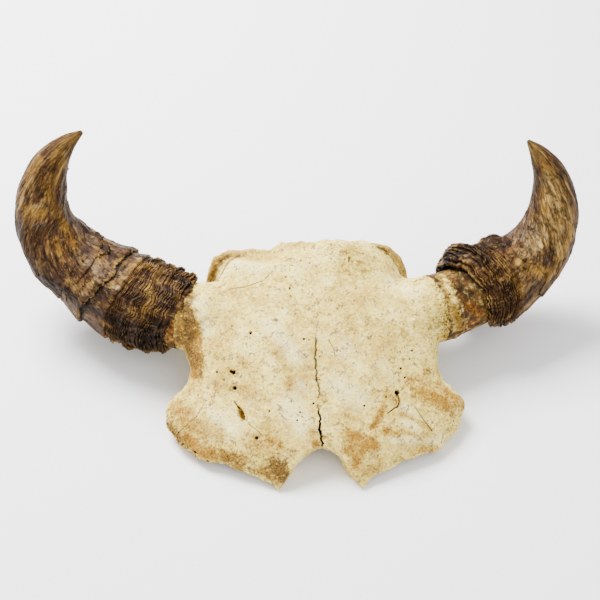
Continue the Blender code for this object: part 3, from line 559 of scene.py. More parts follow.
horns = {
    "right": {
        "route": ((-84, 93, -42), (-112, 101, -45), (-140, 108, -49), (-174, 121, -57), (-208, 138, -62),
                  (-242, 161, -63), (-272, 186, -57), (-292, 213, -44), (-297, 237, -27), (-292, 256, -8),
                  (-281, 272, 11), (-264, 285, 28), (-246, 293, 41)),
        "mouth": (61.2, -8.3, 6.6, 2.1, -0.2),
        "mouthSeen": (193.8, 282.7, 183.4, 298.6, 181.8, 311.4, 175.4, 321, 166.7, 325.7, 161, 340),
        "pages": 25,  # thin growth layers, one behind the other
        "pagesEnd": (143, 259, 132, 272, 124, 283, 113.6, 296, 107, 307, 104, 317),
        "plates": ((127, 254, 119, 262, 112.7, 273, 101, 284.7, 91.7, 292, 80.3, 302),
                   (101, 239, 99, 252, 90, 268, 77, 283, 62, 288)),  # edges of thicker layers beyond
        "radii": ((61, 44.5), (78, 46), (105.8, 50.5), (139.8, 49), (179.9, 44), (217, 39), (254, 33.5),
                  (281.8, 29), (306.5, 25), (331.2, 19.5), (355.9, 12.5), (374.4, 7), (386.8, 2.5)),
        "lip": (2.0, 75, 20),  # how far the rear of the mouth flares, where it is widest, and over what length
        "front": 3.0,  # length over which the mouth's first pages climb
        "tip": 1.3,  # how far a page's free edge stands out
        "tone": 0.35,  # how light the pages are
        "teeth": ((1.2, 175), (0.9, -20)),  # how much more the pages stand out on a side, and its angle
        "seed": 3,
    },
    "left": {
        "route": ((84, 93, -42), (112, 100, -45), (143, 107, -49), (187, 124, -58), (220, 141, -62),
                  (253, 161, -58), (273, 182, -47), (282, 203, -30), (282, 223, -10), (275, 242, 9),
                  (262, 259, 25), (246, 271, 40)),
        "mouth": (98, -7.6, -3.1, -4.6, 1.3),
        "mouthSeen": (454, 260, 465.8, 265, 474.6, 274, 483.4, 283, 489, 291, 490, 303, 489, 315, 490, 324),
        "pages": 15,
        "pagesEnd": (481, 247, 496, 251, 507, 258, 518.6, 277, 521, 295, 516, 312),
        "plates": ((520, 258, 533, 263, 546, 275, 541, 289),),
        "radii": ((98, 44.5), (105, 45), (129.8, 46.5), (159.6, 44.5), (191.9, 38), (224.2, 33), (254, 28.5),
                  (278.8, 24), (303.6, 18.5), (323.5, 13), (340.9, 7), (353.3, 2.2)),
        "lip": (13.0, 112, 20),
        "front": 3.5,
        "tip": 1.7,
        "tone": 0.45,
        "teeth": ((0.8, -170), (1.0, -50)),
        "seed": 8,
    },
}

layers = {
    "sides": 240,
    "roll": 46,  # radius of the cylinder on which the patterns are drawn
    "step": 1.5,  # spacing of the rings where the horn is smooth
    "socketRings": 8,
    "slack": 1.2,  # how far the first pages stand off the core
    "scaleGrid": (13, 11),  # points along a loose scale and across it
    "scaleThick": 0.7 * mm,
    # depth of the gap at a layer's foot, how far its edge reaches back, spacing of its rings, and the size and
    # span of the noise that breaks its edge off in places; plates also say how far their edge stands out
    "page": {"groove": 1.9, "overhang": 1.9, "ring": 1.9, "size": 16, "there": (-0.6, -0.1)},
    "plate": {"groove": 2.4, "overhang": 3.6, "ring": 1.5, "size": 30, "there": (-0.9, -0.5), "tip": 2.2},
    # noises: height, size, seed, and length for their width
    "body": ((0.9, 34, 1), (0.4, 10, 2)),
    "mouth": ((1.2, 9, 131), (1.0, 3, 132)),
    "pagesEnd": ((1.5, 9, 134),),
    "gaps": ((0.9, 38, 20), (0.35, 12, 40), (0.22, 4.5, 60)),
    "plates": ((1.6, 14, 104), (0.8, 5, 108)),
    "feet": ((0.9, 8, 130), (0.6, 3, 133)),
    "ragged": ((0.7, 2.6, 180), (0.5, 6, 220)),
    "coarse": ((1, 10, 13, 1.8), (0.35, 3, 14, 1.5)),
    "broad": ((1, 17, 15, 1.6), (0.3, 4, 16)),
    "fine": ((0.2, 2.6, 17, 4), (0.14, 1.6, 18, 2)),
}


def toTable(points):
    # from the skull's own frame, in millimetres, to where it lies on the table
    turn = math.radians(skullPose["tilt"])
    x, y, z = points[..., 0], points[..., 1], points[..., 2]
    ahead = y * math.cos(turn) - z * math.sin(turn) - skullPose["centre"][1]
    height = y * math.sin(turn) + z * math.cos(turn) + skullPose["drop"]
    return np.stack([x - skullPose["centre"][0], ahead, height], axis=-1) * mm


def toSkull(place):
    turn = math.radians(skullPose["tilt"])
    x, ahead, height = np.array(place) / mm
    ahead, height = ahead + skullPose["centre"][1], height - skullPose["drop"]
    return np.array([x + skullPose["centre"][0], ahead * math.cos(turn) + height * math.sin(turn),
                     height * math.cos(turn) - ahead * math.sin(turn)])


def smoothRoute(points):
    # a Catmull-Rom curve through the points: places, directions and distances along it
    rows = np.array(points, float)
    rows = np.vstack([2 * rows[0] - rows[1], rows, 2 * rows[-1] - rows[-2]])
    t = np.arange(0, 1, 0.02)[:, None]
    places = [0.5 * (2 * b + (c - a) * t + (2 * a - 5 * b + 4 * c - d) * t ** 2
                     + (3 * b - a - 3 * c + d) * t ** 3) for a, b, c, d in zip(rows, rows[1:], rows[2:], rows[3:])]
    places = np.vstack(places + [rows[-2:-1]])
    steps = np.diff(places, axis=0)
    lengths = np.linalg.norm(steps, axis=1)
    ahead = steps / lengths[:, None]
    return places, np.vstack([ahead, ahead[-1:]]), np.concatenate([[0], np.cumsum(lengths)])


def coreRadius(distance):
    return core["radius"] - core["taper"] * (distance - core["burr"])


class Horn:
    def __init__(self, side):
        self.side, self.facts = side, horns[side]
        self.places, self.ahead, self.distances = smoothRoute(self.facts["route"])
        self.end = self.distances[-1]
        self.angle = np.linspace(0, 2 * math.pi, layers["sides"] + 1)
        self.rear = np.maximum(0, np.cos(self.angle))  # 1 at the back of the head, 0 on the front half
        self.tree = treeOf(["horn_sheath_" + side])
        self.mouth = self.line(self.facts["mouthSeen"], self.facts["mouth"])

    def axes(self, distance):
        here = np.clip(distance, 0, self.end)
        centre = np.stack([np.interp(here, self.distances, self.places[:, k]) for k in range(3)], axis=-1)
        ahead = np.stack([np.interp(here, self.distances, self.ahead[:, k]) for k in range(3)], axis=-1)
        ahead /= np.linalg.norm(ahead, axis=-1, keepdims=True)
        rear = np.array([0, 1, 0]) - ahead * ahead[..., 1:2]
        rear /= np.linalg.norm(rear, axis=-1, keepdims=True)
        under = np.cross(ahead, rear) if self.side == "right" else np.cross(rear, ahead)
        return centre, rear, under

    def point(self, distance, angle, radius):
        centre, rear, under = self.axes(distance)
        radius = np.asarray(radius)[..., None]
        return toTable(centre + radius * (np.cos(angle)[..., None] * rear + np.sin(angle)[..., None] * under))

    def locate(self, place):
        # distance along the route and angle round it of a place on the table
        spot = toSkull(place)
        nearest = int(np.argmin(np.linalg.norm(self.places - spot, axis=1)))
        centre, rear, under = self.axes(self.distances[nearest])
        return self.distances[nearest], math.atan2((spot - centre) @ under, (spot - centre) @ rear)

    def ring(self, numbers, angle):
        mean, a, b, c, d = numbers
        return mean + a * np.cos(angle) + b * np.sin(angle) + c * np.cos(2 * angle) + d * np.sin(2 * angle)

    def line(self, numbers, unseen=None):
        # distance of a line at each angle, from the pixels that it passes
        found = [self.locate(place) for place, _ in spotsUnder(self.tree, numbers)]
        angles = [angle % (2 * math.pi) for _, angle in found]
        distances = [distance for distance, _ in found]
        if unseen:
            for angle in np.radians(np.arange(0, 360, 15)):
                if min(abs(math.remainder(angle - seen, 2 * math.pi)) for seen in angles) > math.radians(28):
                    angles.append(angle)
                    distances.append(self.ring(unseen, angle))
        return np.interp(self.angle, *zip(*sorted(zip(angles, distances))), period=2 * math.pi)

    def wrapped(self, distance, stretch=1.0):
        # the place on an unrolled horn, where patterns don't bend: round it, and along it
        roll = layers["roll"]
        along = np.broadcast_to(distance / stretch, self.angle.shape)
        return np.stack([roll * np.cos(self.angle), roll * np.sin(self.angle), along], axis=-1)

    def noise(self, size, seed, distance=0.0, stretch=1.0):
        return softNoise(self.wrapped(distance, stretch), size, seed + self.facts["seed"])

    def lumps(self, rows, distance=0.0, more=0):
        # noises laid over each other
        return sum(height * self.noise(size, seed + more, distance, *stretch)
                   for height, size, seed, *stretch in rows)

    def plain(self, distance):
        # radius without lip, lumps and pages
        return np.interp(distance, *np.transpose(self.facts["radii"]))

    def body(self, distance):
        # radius without pages, for one ring
        flare, peak, length = self.facts["lip"]
        radius = self.plain(distance) + flare * np.exp(-((distance - peak) / length) ** 2) * self.rear
        inner = coreRadius(distance) + layers["slack"] + 0.3 * flare * self.rear
        climb = np.exp(-np.maximum(0, distance - self.mouth) / self.facts["front"])
        lumps = self.lumps(layers["body"], distance) * np.minimum(1, radius / 22)
        return radius + (np.minimum(inner, radius) - radius) * climb + lumps

    def flaked(self, distance):
        # the smooth part: ridges along it, and islands where thin scales have come off, with painted shade along
        # their rims
        slim = np.clip((self.end - distance) / 150, 0, 1)
        ridges = 1 - 2.2 * np.abs(self.noise(13, 11, distance, 9)) + 0.5 * self.noise(5, 12, distance, 7)
        coarse, broad, fine = (self.lumps(layers[name], distance) for name in ("coarse", "broad", "fine"))
        islands = smoothStep(-0.02, 0.05, coarse) + smoothStep(-0.1, -0.03, broad)
        rimShade = np.exp(-((coarse + 0.05) / 0.06) ** 2) + np.exp(-((broad + 0.13) / 0.06) ** 2)
        return slim * (1.2 * ridges + 0.7 * islands + 1.4 * fine), islands / 2, np.minimum(1, rimShade)


def hornSurface(horn):
    # rings from the bottom of the socket, out over the mouth, page by page to the tip
    facts = horn.facts
    blank = np.zeros(len(horn.angle))
    rings = []

    # the last number of a ring is painted shade, in the socket, under each free edge and along the islands' rims
    def addRing(distance, radius, page=0.5, edge=0.0, groove=0.0):
        rings.append([value + blank for value in (distance, radius, page, edge, groove)])

    pagesEnd = horn.line(facts["pagesEnd"]) + horn.lumps(layers["pagesEnd"])
    mouth = horn.mouth + horn.lumps(layers["mouth"])
    bottom = facts["mouth"][0] + core["socket"]
    # painted shade fills the socket
    addRing(bottom, 0, groove=1)
    for share in np.linspace(0, 1, layers["socketRings"]):
        here = bottom + (mouth - bottom) * share
        wall = coreRadius(here) + 0.35 + layers["slack"] * share ** 4
        addRing(here, wall + 0.15 * facts["lip"][0] * share ** 3 * horn.rear, groove=1)

    count = facts["pages"]
    gaps = [np.clip(1 + horn.lumps(layers["gaps"], more=k), 0.2, 2.4) for k in range(count)]
    shares = np.cumsum(gaps, axis=0)
    shares = np.vstack([blank, shares / shares[-1]])
    feet = mouth + (pagesEnd - mouth) * shares
    for k, pixels in enumerate(facts["plates"]):
        plate = horn.line(pixels) + horn.lumps(layers["plates"], more=k)
        feet = np.vstack([feet, np.maximum(plate, feet[-1] + 5)])
    feet[1:] += horn.lumps(layers["feet"])
    side = sum(np.maximum(0, np.cos(horn.angle - math.radians(angle))) ** 3 * more for more, angle in facts["teeth"])
    last = len(feet) - 2
    for k in range(last + 1):
        plate = k >= count
        kind = layers["plate" if plate else "page"]
        there = smoothStep(*kind["there"], horn.noise(kind["size"], 140 + k))
        ragged = 1 + horn.lumps(layers["ragged"], more=k)
        proud = 1 + side * (1 + 1.3 * math.sin(k * 5.3 + facts["seed"]))
        tip = kind.get("tip", facts["tip"]) * there * (0.5 + 0.5 * ragged) * proud
        deep = kind["groove"] * (0.3 + 0.7 * there)
        before = feet[k] - feet[k - 1] if k else blank + 3.0
        reach = np.clip(kind["overhang"] * there * ragged, 0.12, 0.75 * np.maximum(before, 0.3))
        foot, length = feet[k], feet[k + 1] - feet[k]
        radius = horn.body(foot)
        page = facts["tone"] + 0.4 * math.sin(k * 12.9898 + facts["seed"]) + 0.3 * horn.noise(14, 260 + k)
        # painted shade in the gap under the free edge, fading out up to the edge
        addRing(foot, radius - deep, page, 0, there)
        addRing(foot - 0.6 * reach, radius - 0.4 * deep, page, 0, 0.9 * there)
        addRing(foot - reach, radius + 0.35 * tip, page, there, 0.15 * there)
        addRing(foot - 0.8 * reach, radius + tip, page, there, 0)
        steps = max(2, round(float(length.mean()) / kind["ring"]))
        for f in np.arange(1, steps + 0.5) / (steps + 0.6):
            here = foot - 0.8 * reach + (length + 0.8 * reach) * f
            surface = horn.body(here) + tip * (1 - f) ** 2 - 0.3 * layers["page"]["groove"] * f ** 2
            # painted shade on the end of the page, under the next one's free edge, and along the islands' rims
            gapShade = smoothStep(0.6, 0.85, f) if k + 1 >= count else 0.6 * smoothStep(0.45, 1, f)
            tone = page
            if plate:
                extra, islands, rimShade = horn.flaked(here)
                surface = surface + 0.8 * extra
                gapShade = np.maximum(0.6 * rimShade, smoothStep(0.6, 0.85, f) * (k < last))
                tone = 0.5 * page + 0.5 * islands
            addRing(here, surface, tone, 0, gapShade)
    start = feet[-1]
    runs = int((horn.end - start.mean()) / layers["step"])
    crest = 0.9 * smoothStep(-0.3, 0.2, horn.noise(20, 300))
    for k in range(runs + 1):
        here = start + (horn.end - start) * k / runs
        extra, islands, rimShade = horn.flaked(here)
        lifted = crest * max(0, 1 - k / 6)
        if k == 0:
            # painted shade under the lifted edge where the smooth part starts, and along the islands' rims
            addRing(here, horn.body(here) - 0.8 * crest, islands, 0, crest)
            addRing(here - 1.2 * crest, horn.body(here) + 0.4 * crest, islands, crest, 0)
        addRing(here, np.maximum(0.3, horn.body(here) + extra + lifted), 0.2 + 0.6 * islands, 0, 0.6 * rimShade)
    addRing(rings[-1][0], 0, rings[-1][2])
    return np.stack(rings, axis=1)


def rolledGrid(name, points, values):
    # a flat grid rolled up to the rings of points, closed along its seam and at both ends
    piece = mappedGrid(name, points, values)
    with editing(piece):
        bpy.ops.mesh.remove_doubles(threshold=2e-6)
        bpy.ops.mesh.normals_make_consistent(inside=False)
    piece.data.shade_smooth()
    return piece


def mappedGrid(name, points, values):
    rows, columns = points.shape[:2]
    bpy.ops.object.select_all(action="DESELECT")
    bpy.ops.mesh.primitive_grid_add(x_subdivisions=columns - 1, y_subdivisions=rows - 1, size=1)
    piece = bpy.context.active_object
    piece.name = piece.data.name = name
    mesh = piece.data
    writePoints(mesh, points.reshape(-1, 3))
    for label, value in values.items():
        if value.ndim == 3:
            made = mesh.attributes.new(label, "FLOAT_VECTOR", "POINT")
            made.data.foreach_set("vector", value.astype(np.float32).ravel())
        else:
            paint(mesh, label, value.ravel())
    return piece


def wrapOf(distance, angle):
    return np.stack([np.cos(angle) * layers["roll"], np.sin(angle) * layers["roll"], distance], axis=-1) * mm


# Colours that the picture shows on the horns: strength, radius in millimetres, pixels of the stroke
hornStains = {
    "gold": (
        (.8, 4, 148, 288, 152, 300, 143, 312), (.3, 5, 128, 285, 133, 305), (.3, 4, 158, 275, 165, 270),
        (.7, 5, 126, 257, 118, 266), (.9, 5, 140, 262, 130, 271, 118, 285), (.5, 3, 150, 318, 158, 306),
        (.6, 5, 112, 276, 96, 290), (.9, 4, 104, 241, 125, 252), (.6, 6, 88, 290, 97, 282), (1, 7, 26, 210, 40, 214),
        (.8, 5, 74, 246, 84, 262), (.8, 5, 27, 186, 30, 172, 40, 160), (.7, 4, 60, 150, 50, 165),
        (.8, 4, 77, 136, 66, 142, 58, 150), (.6, 4, 50, 175, 46, 200), (.6, 5, 62, 160, 56, 185),
        (.6, 4, 176, 296, 180, 310), (.6, 5, 60, 215, 64, 222), (.6, 4, 100, 262, 94, 274),
        (.6, 5, 70, 282, 82, 292), (.9, 8, 530, 268, 545, 275, 557, 262), (1, 8, 560, 255, 570, 235, 571, 212),
        (.9, 8, 545, 240, 560, 220), (.9, 7, 562, 205, 552, 185), (.8, 6, 545, 190, 548, 212),
        (.9, 6, 556, 182, 541, 160, 532, 146), (.8, 5, 518, 262, 528, 272), (.5, 4, 470, 262, 500, 280),
        (.4, 2, 462, 262, 478, 270), (.7, 5, 535, 295, 550, 283), (.7, 6, 568, 200, 563, 185),
        (.6, 6, 512, 276, 520, 290),
    ),
    "amber": (
        (1, 6, 63, 222, 68, 234, 74, 244), (.7, 5, 54, 240, 60, 252), (.6, 5, 48, 190, 56, 210),
        (.5, 5, 40, 172, 42, 188), (.5, 5, 548, 200, 540, 215), (.5, 5, 140, 275, 150, 268),
    ),
    "grey": (
        (.7, 8, 80, 258, 92, 240), (.7, 8, 88, 262, 102, 276), (.5, 6, 118, 290, 124, 272),
        (.6, 6, 78, 230, 90, 242), (.9, 4, 37, 226, 43, 224), (.5, 6, 100, 295, 85, 290),
        (.8, 5, 532, 228, 543, 238), (.7, 6, 510, 243, 526, 233), (.7, 4, 546, 260, 552, 266),
        (.5, 5, 533, 279, 541, 284), (.5, 4, 59, 205, 62, 190), (.6, 5, 535, 165, 543, 182),
        (.5, 6, 165, 290, 160, 305),
    ),
    # dark horn, and painted shade in the hollow under the left horn's lip and in its mouth
    "black": (
        (1.3, 2.2, 84, 228, 95, 240, 107, 250, 116, 257), (1.2, 10, 447, 260, 456, 256, 468, 255, 482, 260),
        (.8, 8, 480, 252, 500, 248), (.6, 7, 160, 330, 150, 318), (1.2, 3, 437, 266, 450, 265, 461, 269),
        (1.4, 14, 132, 338, 155, 342), (1, 10, 118, 325, 145, 330), (.9, 7, 95, 312, 112, 322),
        (.8, 7, 75, 300, 92, 312), (.9, 6, 160, 325, 165, 340), (.6, 5, 175, 276, 186, 284),
        (1, 9, 21, 226, 26, 250, 40, 268), (1.1, 10, 45, 275, 66, 294, 84, 308), (.6, 6, 172, 300, 176, 316),
        (.5, 6, 495, 300, 497, 320), (.5, 6, 505, 305, 512, 312), (.8, 6, 525, 300, 545, 285), (.8, 5, 498, 242),
        (.8, 3, 446, 263, 456, 260, 466, 266), (.5, 5, 485, 262, 505, 275), (.6, 4, 472, 250),
        (.3, 5, 502, 290, 504, 305), (.5, 5, 560, 262, 568, 245),
    ),
    "pale": (
        (.55, 14, 532, 245, 556, 228), (.6, 12, 558, 205, 550, 180), (.5, 7, 540, 160, 532, 146),
        (.5, 5, 520, 250, 530, 258), (.5, 3, 30, 206, 44, 206), (.4, 3, 33, 180, 30, 196), (.5, 2, 62, 160, 72, 142),
        (.4, 4, 110, 265, 100, 280), (.8, 3, 538, 216, 545, 222), (.7, 4, 568, 210, 573, 222),
        (.6, 4, 520, 268, 532, 264), (.5, 3, 545, 172, 552, 188), (.4, 5, 548, 242, 556, 250),
        (.6, 2, 531, 143, 540, 155), (.4, 4, 148, 292, 150, 302), (.4, 5, 556, 200, 562, 214),
        (.4, 4, 552, 226, 560, 236),
    ),
}

# Where the picture's outline runs beside the solid's: pixel, radius in millimetres, shift in pixels
hornNudges = (
    (94, 313, 15, 1, -3.5), (116, 326, 15, 1, -3.5), (138, 336, 15, 1, -3.5), (158, 342, 15, 1, -3.5),
    (31, 254, 17, -2, 2), (43, 276, 17, -2.5, 2.5), (70, 212, 15, -2, 1.5), (448, 257, 12, -5, -1.5),
    (182, 274, 9, 0, -1.5), (565, 248, 16, 1.5, 1), (539, 165, 10, -1, 0), (60, 185, 12, -1, 0),
)

# Scales that have come loose: pixel of the hinge, length, width and lift in millimetres, and the way it
# points, in degrees from the tip's side towards the underside
hornScales = {
    "right": (
        (88, 246, 17, 40, 8, 90), (97, 252, 15, 30, 6, 96), (112, 262, 13, 20, 3.5, 100), (88, 233, 14, 8, 4, 186),
        (92, 248, 16, 14, 3, 178), (107, 262, 15, 18, 2.8, 172), (80, 252, 13, 12, 2.2, 176),
        (66, 264, 11, 10, 2, 184), (98, 270, 14, 14, 2.4, 168), (52, 250, 10, 9, 1.6, 180),
        (58, 232, 10, 9, 1.6, 196), (76, 280, 13, 13, 2, 178), (40, 240, 10, 8, 1.5, 172), (62, 205, 12, 6, 2, 188),
        (64, 172, 10, 5, 2.4, 80), (61, 190, 10, 5, 2, 80), (31, 200, 10, 8, 1.4, 180), (48, 178, 11, 7, 1.4, 188),
        (116, 300, 12, 14, 2.6, 178), (88, 300, 13, 12, 2.4, 184), (60, 290, 11, 10, 1.8, 180),
        (36, 262, 10, 9, 1.6, 180), (46, 216, 9, 9, 1.4, 176), (72, 243, 10, 10, 1.8, 190),
        (84, 268, 12, 11, 2, 170), (54, 272, 9, 9, 1.5, 182), (124, 262, 12, 12, 2.4, 176),
        (70, 228, 9, 7, 1.6, 200),
    ),
    "left": (
        (499, 251, 21, 56, 11, 92), (484, 254, 14, 26, 8, 96), (515, 249, 15, 30, 7, 84), (492, 256, 24, 20, 5, 176),
        (506, 252, 18, 14, 4, 172), (520, 236, 14, 12, 2.4, 176), (528, 226, 12, 9, 2.2, 186),
        (531, 205, 13, 6, 4, 180), (529, 260, 13, 12, 2.4, 178), (544, 272, 12, 13, 2.4, 184),
        (552, 250, 11, 10, 1.8, 180), (540, 240, 11, 11, 1.8, 170), (562, 232, 10, 10, 1.6, 182),
        (545, 212, 10, 8, 1.6, 180), (556, 198, 10, 7, 1.5, 190), (533, 288, 13, 13, 2.6, 180),
        (548, 282, 12, 10, 2, 180), (516, 256, 13, 13, 2.6, 174), (502, 262, 16, 14, 3, 178),
        (566, 215, 10, 8, 1.5, 184), (538, 180, 10, 5, 1.5, 180), (524, 246, 12, 12, 2, 180),
        (558, 262, 11, 11, 1.8, 178),
    ),
}


def makeScales(horn):
    # thin patches over the sheath, fast at one end, with a ragged free end that curls up
    made = []
    for number, (x, y, length, width, lift, turn) in enumerate(hornScales[horn.side]):
        spot = spotUnder(horn.tree, (x, y))[0]
        distance, angle = horn.locate(spot)
        radius = float(np.linalg.norm(toSkull(spot) - horn.axes(distance)[0]))
        rows, columns = layers["scaleGrid"]
        u, v = np.meshgrid(np.linspace(0, 1, rows), np.linspace(-1, 1, columns), indexing="ij")
        seed = 7 * number + horn.facts["seed"]
        place = np.stack([u * 9, v * 5, np.full(u.shape, seed)], axis=-1).reshape(-1, 3)
        rough = softNoise(place, 1.7, seed).reshape(u.shape)
        along = u * length * (1 + 0.22 * softNoise(place * (0, 1, 1), 1.1, seed + 1).reshape(u.shape))
        across = v * width * 0.5 * (1 - 0.3 * u ** 2) * (1 + 0.16 * rough)
        way = math.radians(turn)
        here = distance + along * math.cos(way) - across * math.sin(way)
        around = angle + (along * math.sin(way) + across * math.cos(way)) / radius
        height = 0.5 + lift * u ** 1.6 * (1 - 0.35 * v ** 2) + 0.3 * rough * u - 1.6 * (1 - u) ** 2
        points = horn.point(here, around, horn.plain(here) + radius - horn.plain(distance) + height)
        border = np.maximum(smoothStep(0.8, 1, u), smoothStep(0.75, 1, np.abs(v)) * u)
        tone = np.full(u.shape, -0.6 if lift > 4 else 0.5 + 0.5 * math.sin(seed * 3.7))
        values = {"page": tone, "edge": border, "groove": np.zeros(u.shape), "wrap": wrapOf(here, around)}
        patch = mappedGrid("scale", points, values)
        middle = rows // 2, columns // 2
        away = points[middle] - horn.point(here[middle], around[middle], 0.0)
        if Vector(patch.data.polygons[len(patch.data.polygons) // 2].normal) @ Vector(away) < 0:
            with editing(patch):
                bpy.ops.mesh.flip_normals()
        applyModifier(patch, "SOLIDIFY", thickness=layers["scaleThick"], offset=-1)
        patch.data.shade_smooth()
        made.append(patch)
    bpy.ops.object.select_all(action="DESELECT")
    for patch in made:
        patch.select_set(True)
    bpy.context.view_layer.objects.active = made[0]
    bpy.ops.object.join()
    scales = bpy.context.active_object
    scales.name = scales.data.name = "scales_" + horn.side
    return scales


def finishPiece(piece, material, node=None):
    piece.data.materials.clear()
    piece.data.materials.append(material)
    if node:
        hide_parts(node)
    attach(piece, "root")


def makeHorn(side):
    horn = Horn(side)
    distance, radius, page, edge, groove = hornSurface(horn)
    roll = np.broadcast_to(horn.angle, distance.shape)
    points = horn.point(distance, roll, radius)
    values = {"page": page, "edge": edge, "groove": groove, "wrap": wrapOf(distance, roll)}
    sheath = rolledGrid("sheath_" + side, points, values)
    scales = makeScales(horn)
    for piece in (sheath, scales):
        places = readVectors(piece.data)
        writePoints(piece.data, nudged(places, hornNudges, horn.tree))
        for name, rows in hornStains.items():
            paint(piece.data, name, strokes(places, rows, horn.tree))
    finishPiece(sheath, hornMaterial, "horn_sheath_" + side)
    finishPiece(scales, hornMaterial)
    print("sheath", side, len(sheath.data.polygons), "faces, scales", len(scales.data.polygons), "faces")
    makeCore(horn)


# Colours on the bare cores: strength, radius in millimetres, pixels of the stroke
coreStains = {
    "yellow": (
        (1.1, 5, 441, 276, 448, 288, 452, 300, 455, 314, 457, 328), (.7, 4, 482, 324), (.4, 3, 478, 290, 486, 300),
        (.5, 7, 183, 296, 186, 312),
    ),
    "tan": (
        (1, 3, 444, 280, 450, 291, 456, 304), (.5, 3, 452, 318, 456, 330), (.5, 3, 178, 322, 184, 308),
    ),
    "orange": (
        (.9, 5, 468, 305, 480, 313), (.7, 5, 474, 322, 462, 328), (1, 10, 170, 334, 182, 322),
        (.6, 4, 456, 314, 458, 330),
    ),
    "brown": (
        (1, 8, 456, 270, 468, 276, 480, 288), (.7, 4, 462, 288, 470, 298), (.6, 5, 166, 325, 160, 338),
        (.6, 2, 458, 333),
    ),
    "white": (
        (.7, 1, 461, 304, 464, 316, 467, 327),
    ),
}


def makeCore(horn):
    # the bare bony core: furrows along it, pits where blood vessels ran, and a knotted ring at its foot
    start, end = core["burr"] - core["buried"], horn.facts["mouth"][0] + core["socket"] - 0.5
    distances = np.concatenate([[start], np.arange(start, end, 1.0), [end, end]])
    plain = coreRadius(distances)
    rings = []
    for here, radius in zip(distances, plain):
        furrows = horn.lumps(core["furrows"], here)
        depth, size, seed, stretch = core["pits"]
        pits = depth * smoothStep(0.45, 0.75, horn.noise(size, seed, here, stretch))
        knots = core["knotHeight"] + horn.lumps(core["knots"], here)
        foot = math.exp(-((here - core["burr"] - 9) / 6) ** 2) * np.maximum(0, -np.cos(horn.angle))
        rings.append(radius - 0.3 + furrows - pits + foot * knots)
    rings = np.array(rings)
    covered = distances[:, None] > horn.mouth - 4
    flush = smoothStep(core["burr"] + 1, core["burr"] + 5, distances)[:, None]
    rings = (plain[:, None] + 0.25) * (1 - flush) + rings * flush
    rings = np.where(covered, np.minimum(rings, plain[:, None] + 0.2), rings)
    rings[0] = rings[-1] = 0
    rings[1] -= 1.0
    roll = np.broadcast_to(horn.angle, rings.shape)
    along = np.broadcast_to(distances[:, None], rings.shape)
    piece = rolledGrid("core_" + horn.side, horn.point(along, roll, rings), {})
    node = "horn_core_" + horn.side
    tree = treeOf((*bones["names"], node))
    places = readVectors(piece.data)
    for name, rows in coreStains.items():
        paint(piece.data, name, strokes(places, rows, tree))
    finishPiece(piece, coreMaterial, node)


# Materials: patterns are sized in millimetres of their largest lumps, and masks are painted on the points

def setInputs(tree, node, inputs):
    # inputs are values, or the outputs to link
    for name, value in inputs.items():
        if isinstance(value, bpy.types.NodeSocket):
            tree.links.new(value, node.inputs[name])
        else:
            node.inputs[name].default_value = value


def addNode(tree, kind, inputs=None, output=0, stops=(), **settings):
    # adds a node and gives one of its outputs; stops are the colours of a ramp
    node = tree.nodes.new("ShaderNode" + kind)
    for name, value in settings.items():
        setattr(node, name, value)
    setInputs(tree, node, inputs or {})
    for k, (position, tint) in enumerate(stops):
        elements = node.color_ramp.elements
        element = elements[k] if k < 2 else elements.new(position)
        element.position, element.color = position, toLinear(tint)
    return node.outputs[output]


def summed(tree, total, *parts):
    # a value with shares of patterns added to it
    for part, share in parts:
        total = addNode(tree, "Math", {0: part, 1: share, 2: total}, operation="MULTIPLY_ADD")
    return total


def covered(tree, colour, tint, value, low=0.0, high=1.0, most=1.0):
    # a colour with a tint laid over it, more and more as the value goes from low to high
    share = addNode(tree, "MapRange", {"Value": value, "From Min": low, "From Max": high, "To Max": most})
    tint = toLinear(tint) if isinstance(tint, str) else tint
    return addNode(tree, "MixRGB", {"Fac": share, "Color1": colour, "Color2": tint})


def stained(tree, colour, look, tone, rough):
    # soft stains, broken up by a pattern
    broken = look["broken"]
    for name, most, *stops in look["stains"]:
        tint = addNode(tree, "ValToRGB", {"Fac": tone}, stops=stops)
        mask = addNode(tree, "Attribute", output="Fac", attribute_name=name)
        total = summed(tree, -0.5 * broken, (rough, broken), (mask, 1.0))
        colour = covered(tree, colour, tint, total, 0.12, 0.92, most)
    return colour


def newMaterial(name, inputs):
    made = bpy.data.materials.new(name)
    made.use_nodes = True
    setInputs(made.node_tree, made.node_tree.nodes["Principled BSDF"], inputs)
    return made


def partsOf(tree, look, place):
    # the patterns and painted masks of a material, by name
    parts = {name: addNode(tree, "Attribute", output="Fac", attribute_name=name) for name in look["masks"]}
    for name, (size, detail, roughness, *narrow) in look["patterns"].items():
        spot = addNode(tree, "Mapping", {"Vector": place, "Scale": (1.0, 1.0, *narrow)}) if narrow else place
        values = {"Vector": spot, "Scale": 1000 / size, "Detail": detail, "Roughness": roughness}
        parts[name] = addNode(tree, "TexNoise", values)
    return parts


def finishMaterial(made, look, colour, height):
    strength, distance = look["bump"]
    tree = made.node_tree
    bump = addNode(tree, "Bump", {"Height": height, "Strength": strength, "Distance": distance})
    setInputs(tree, tree.nodes["Principled BSDF"], {"Base Color": colour, "Normal": bump})
    return made
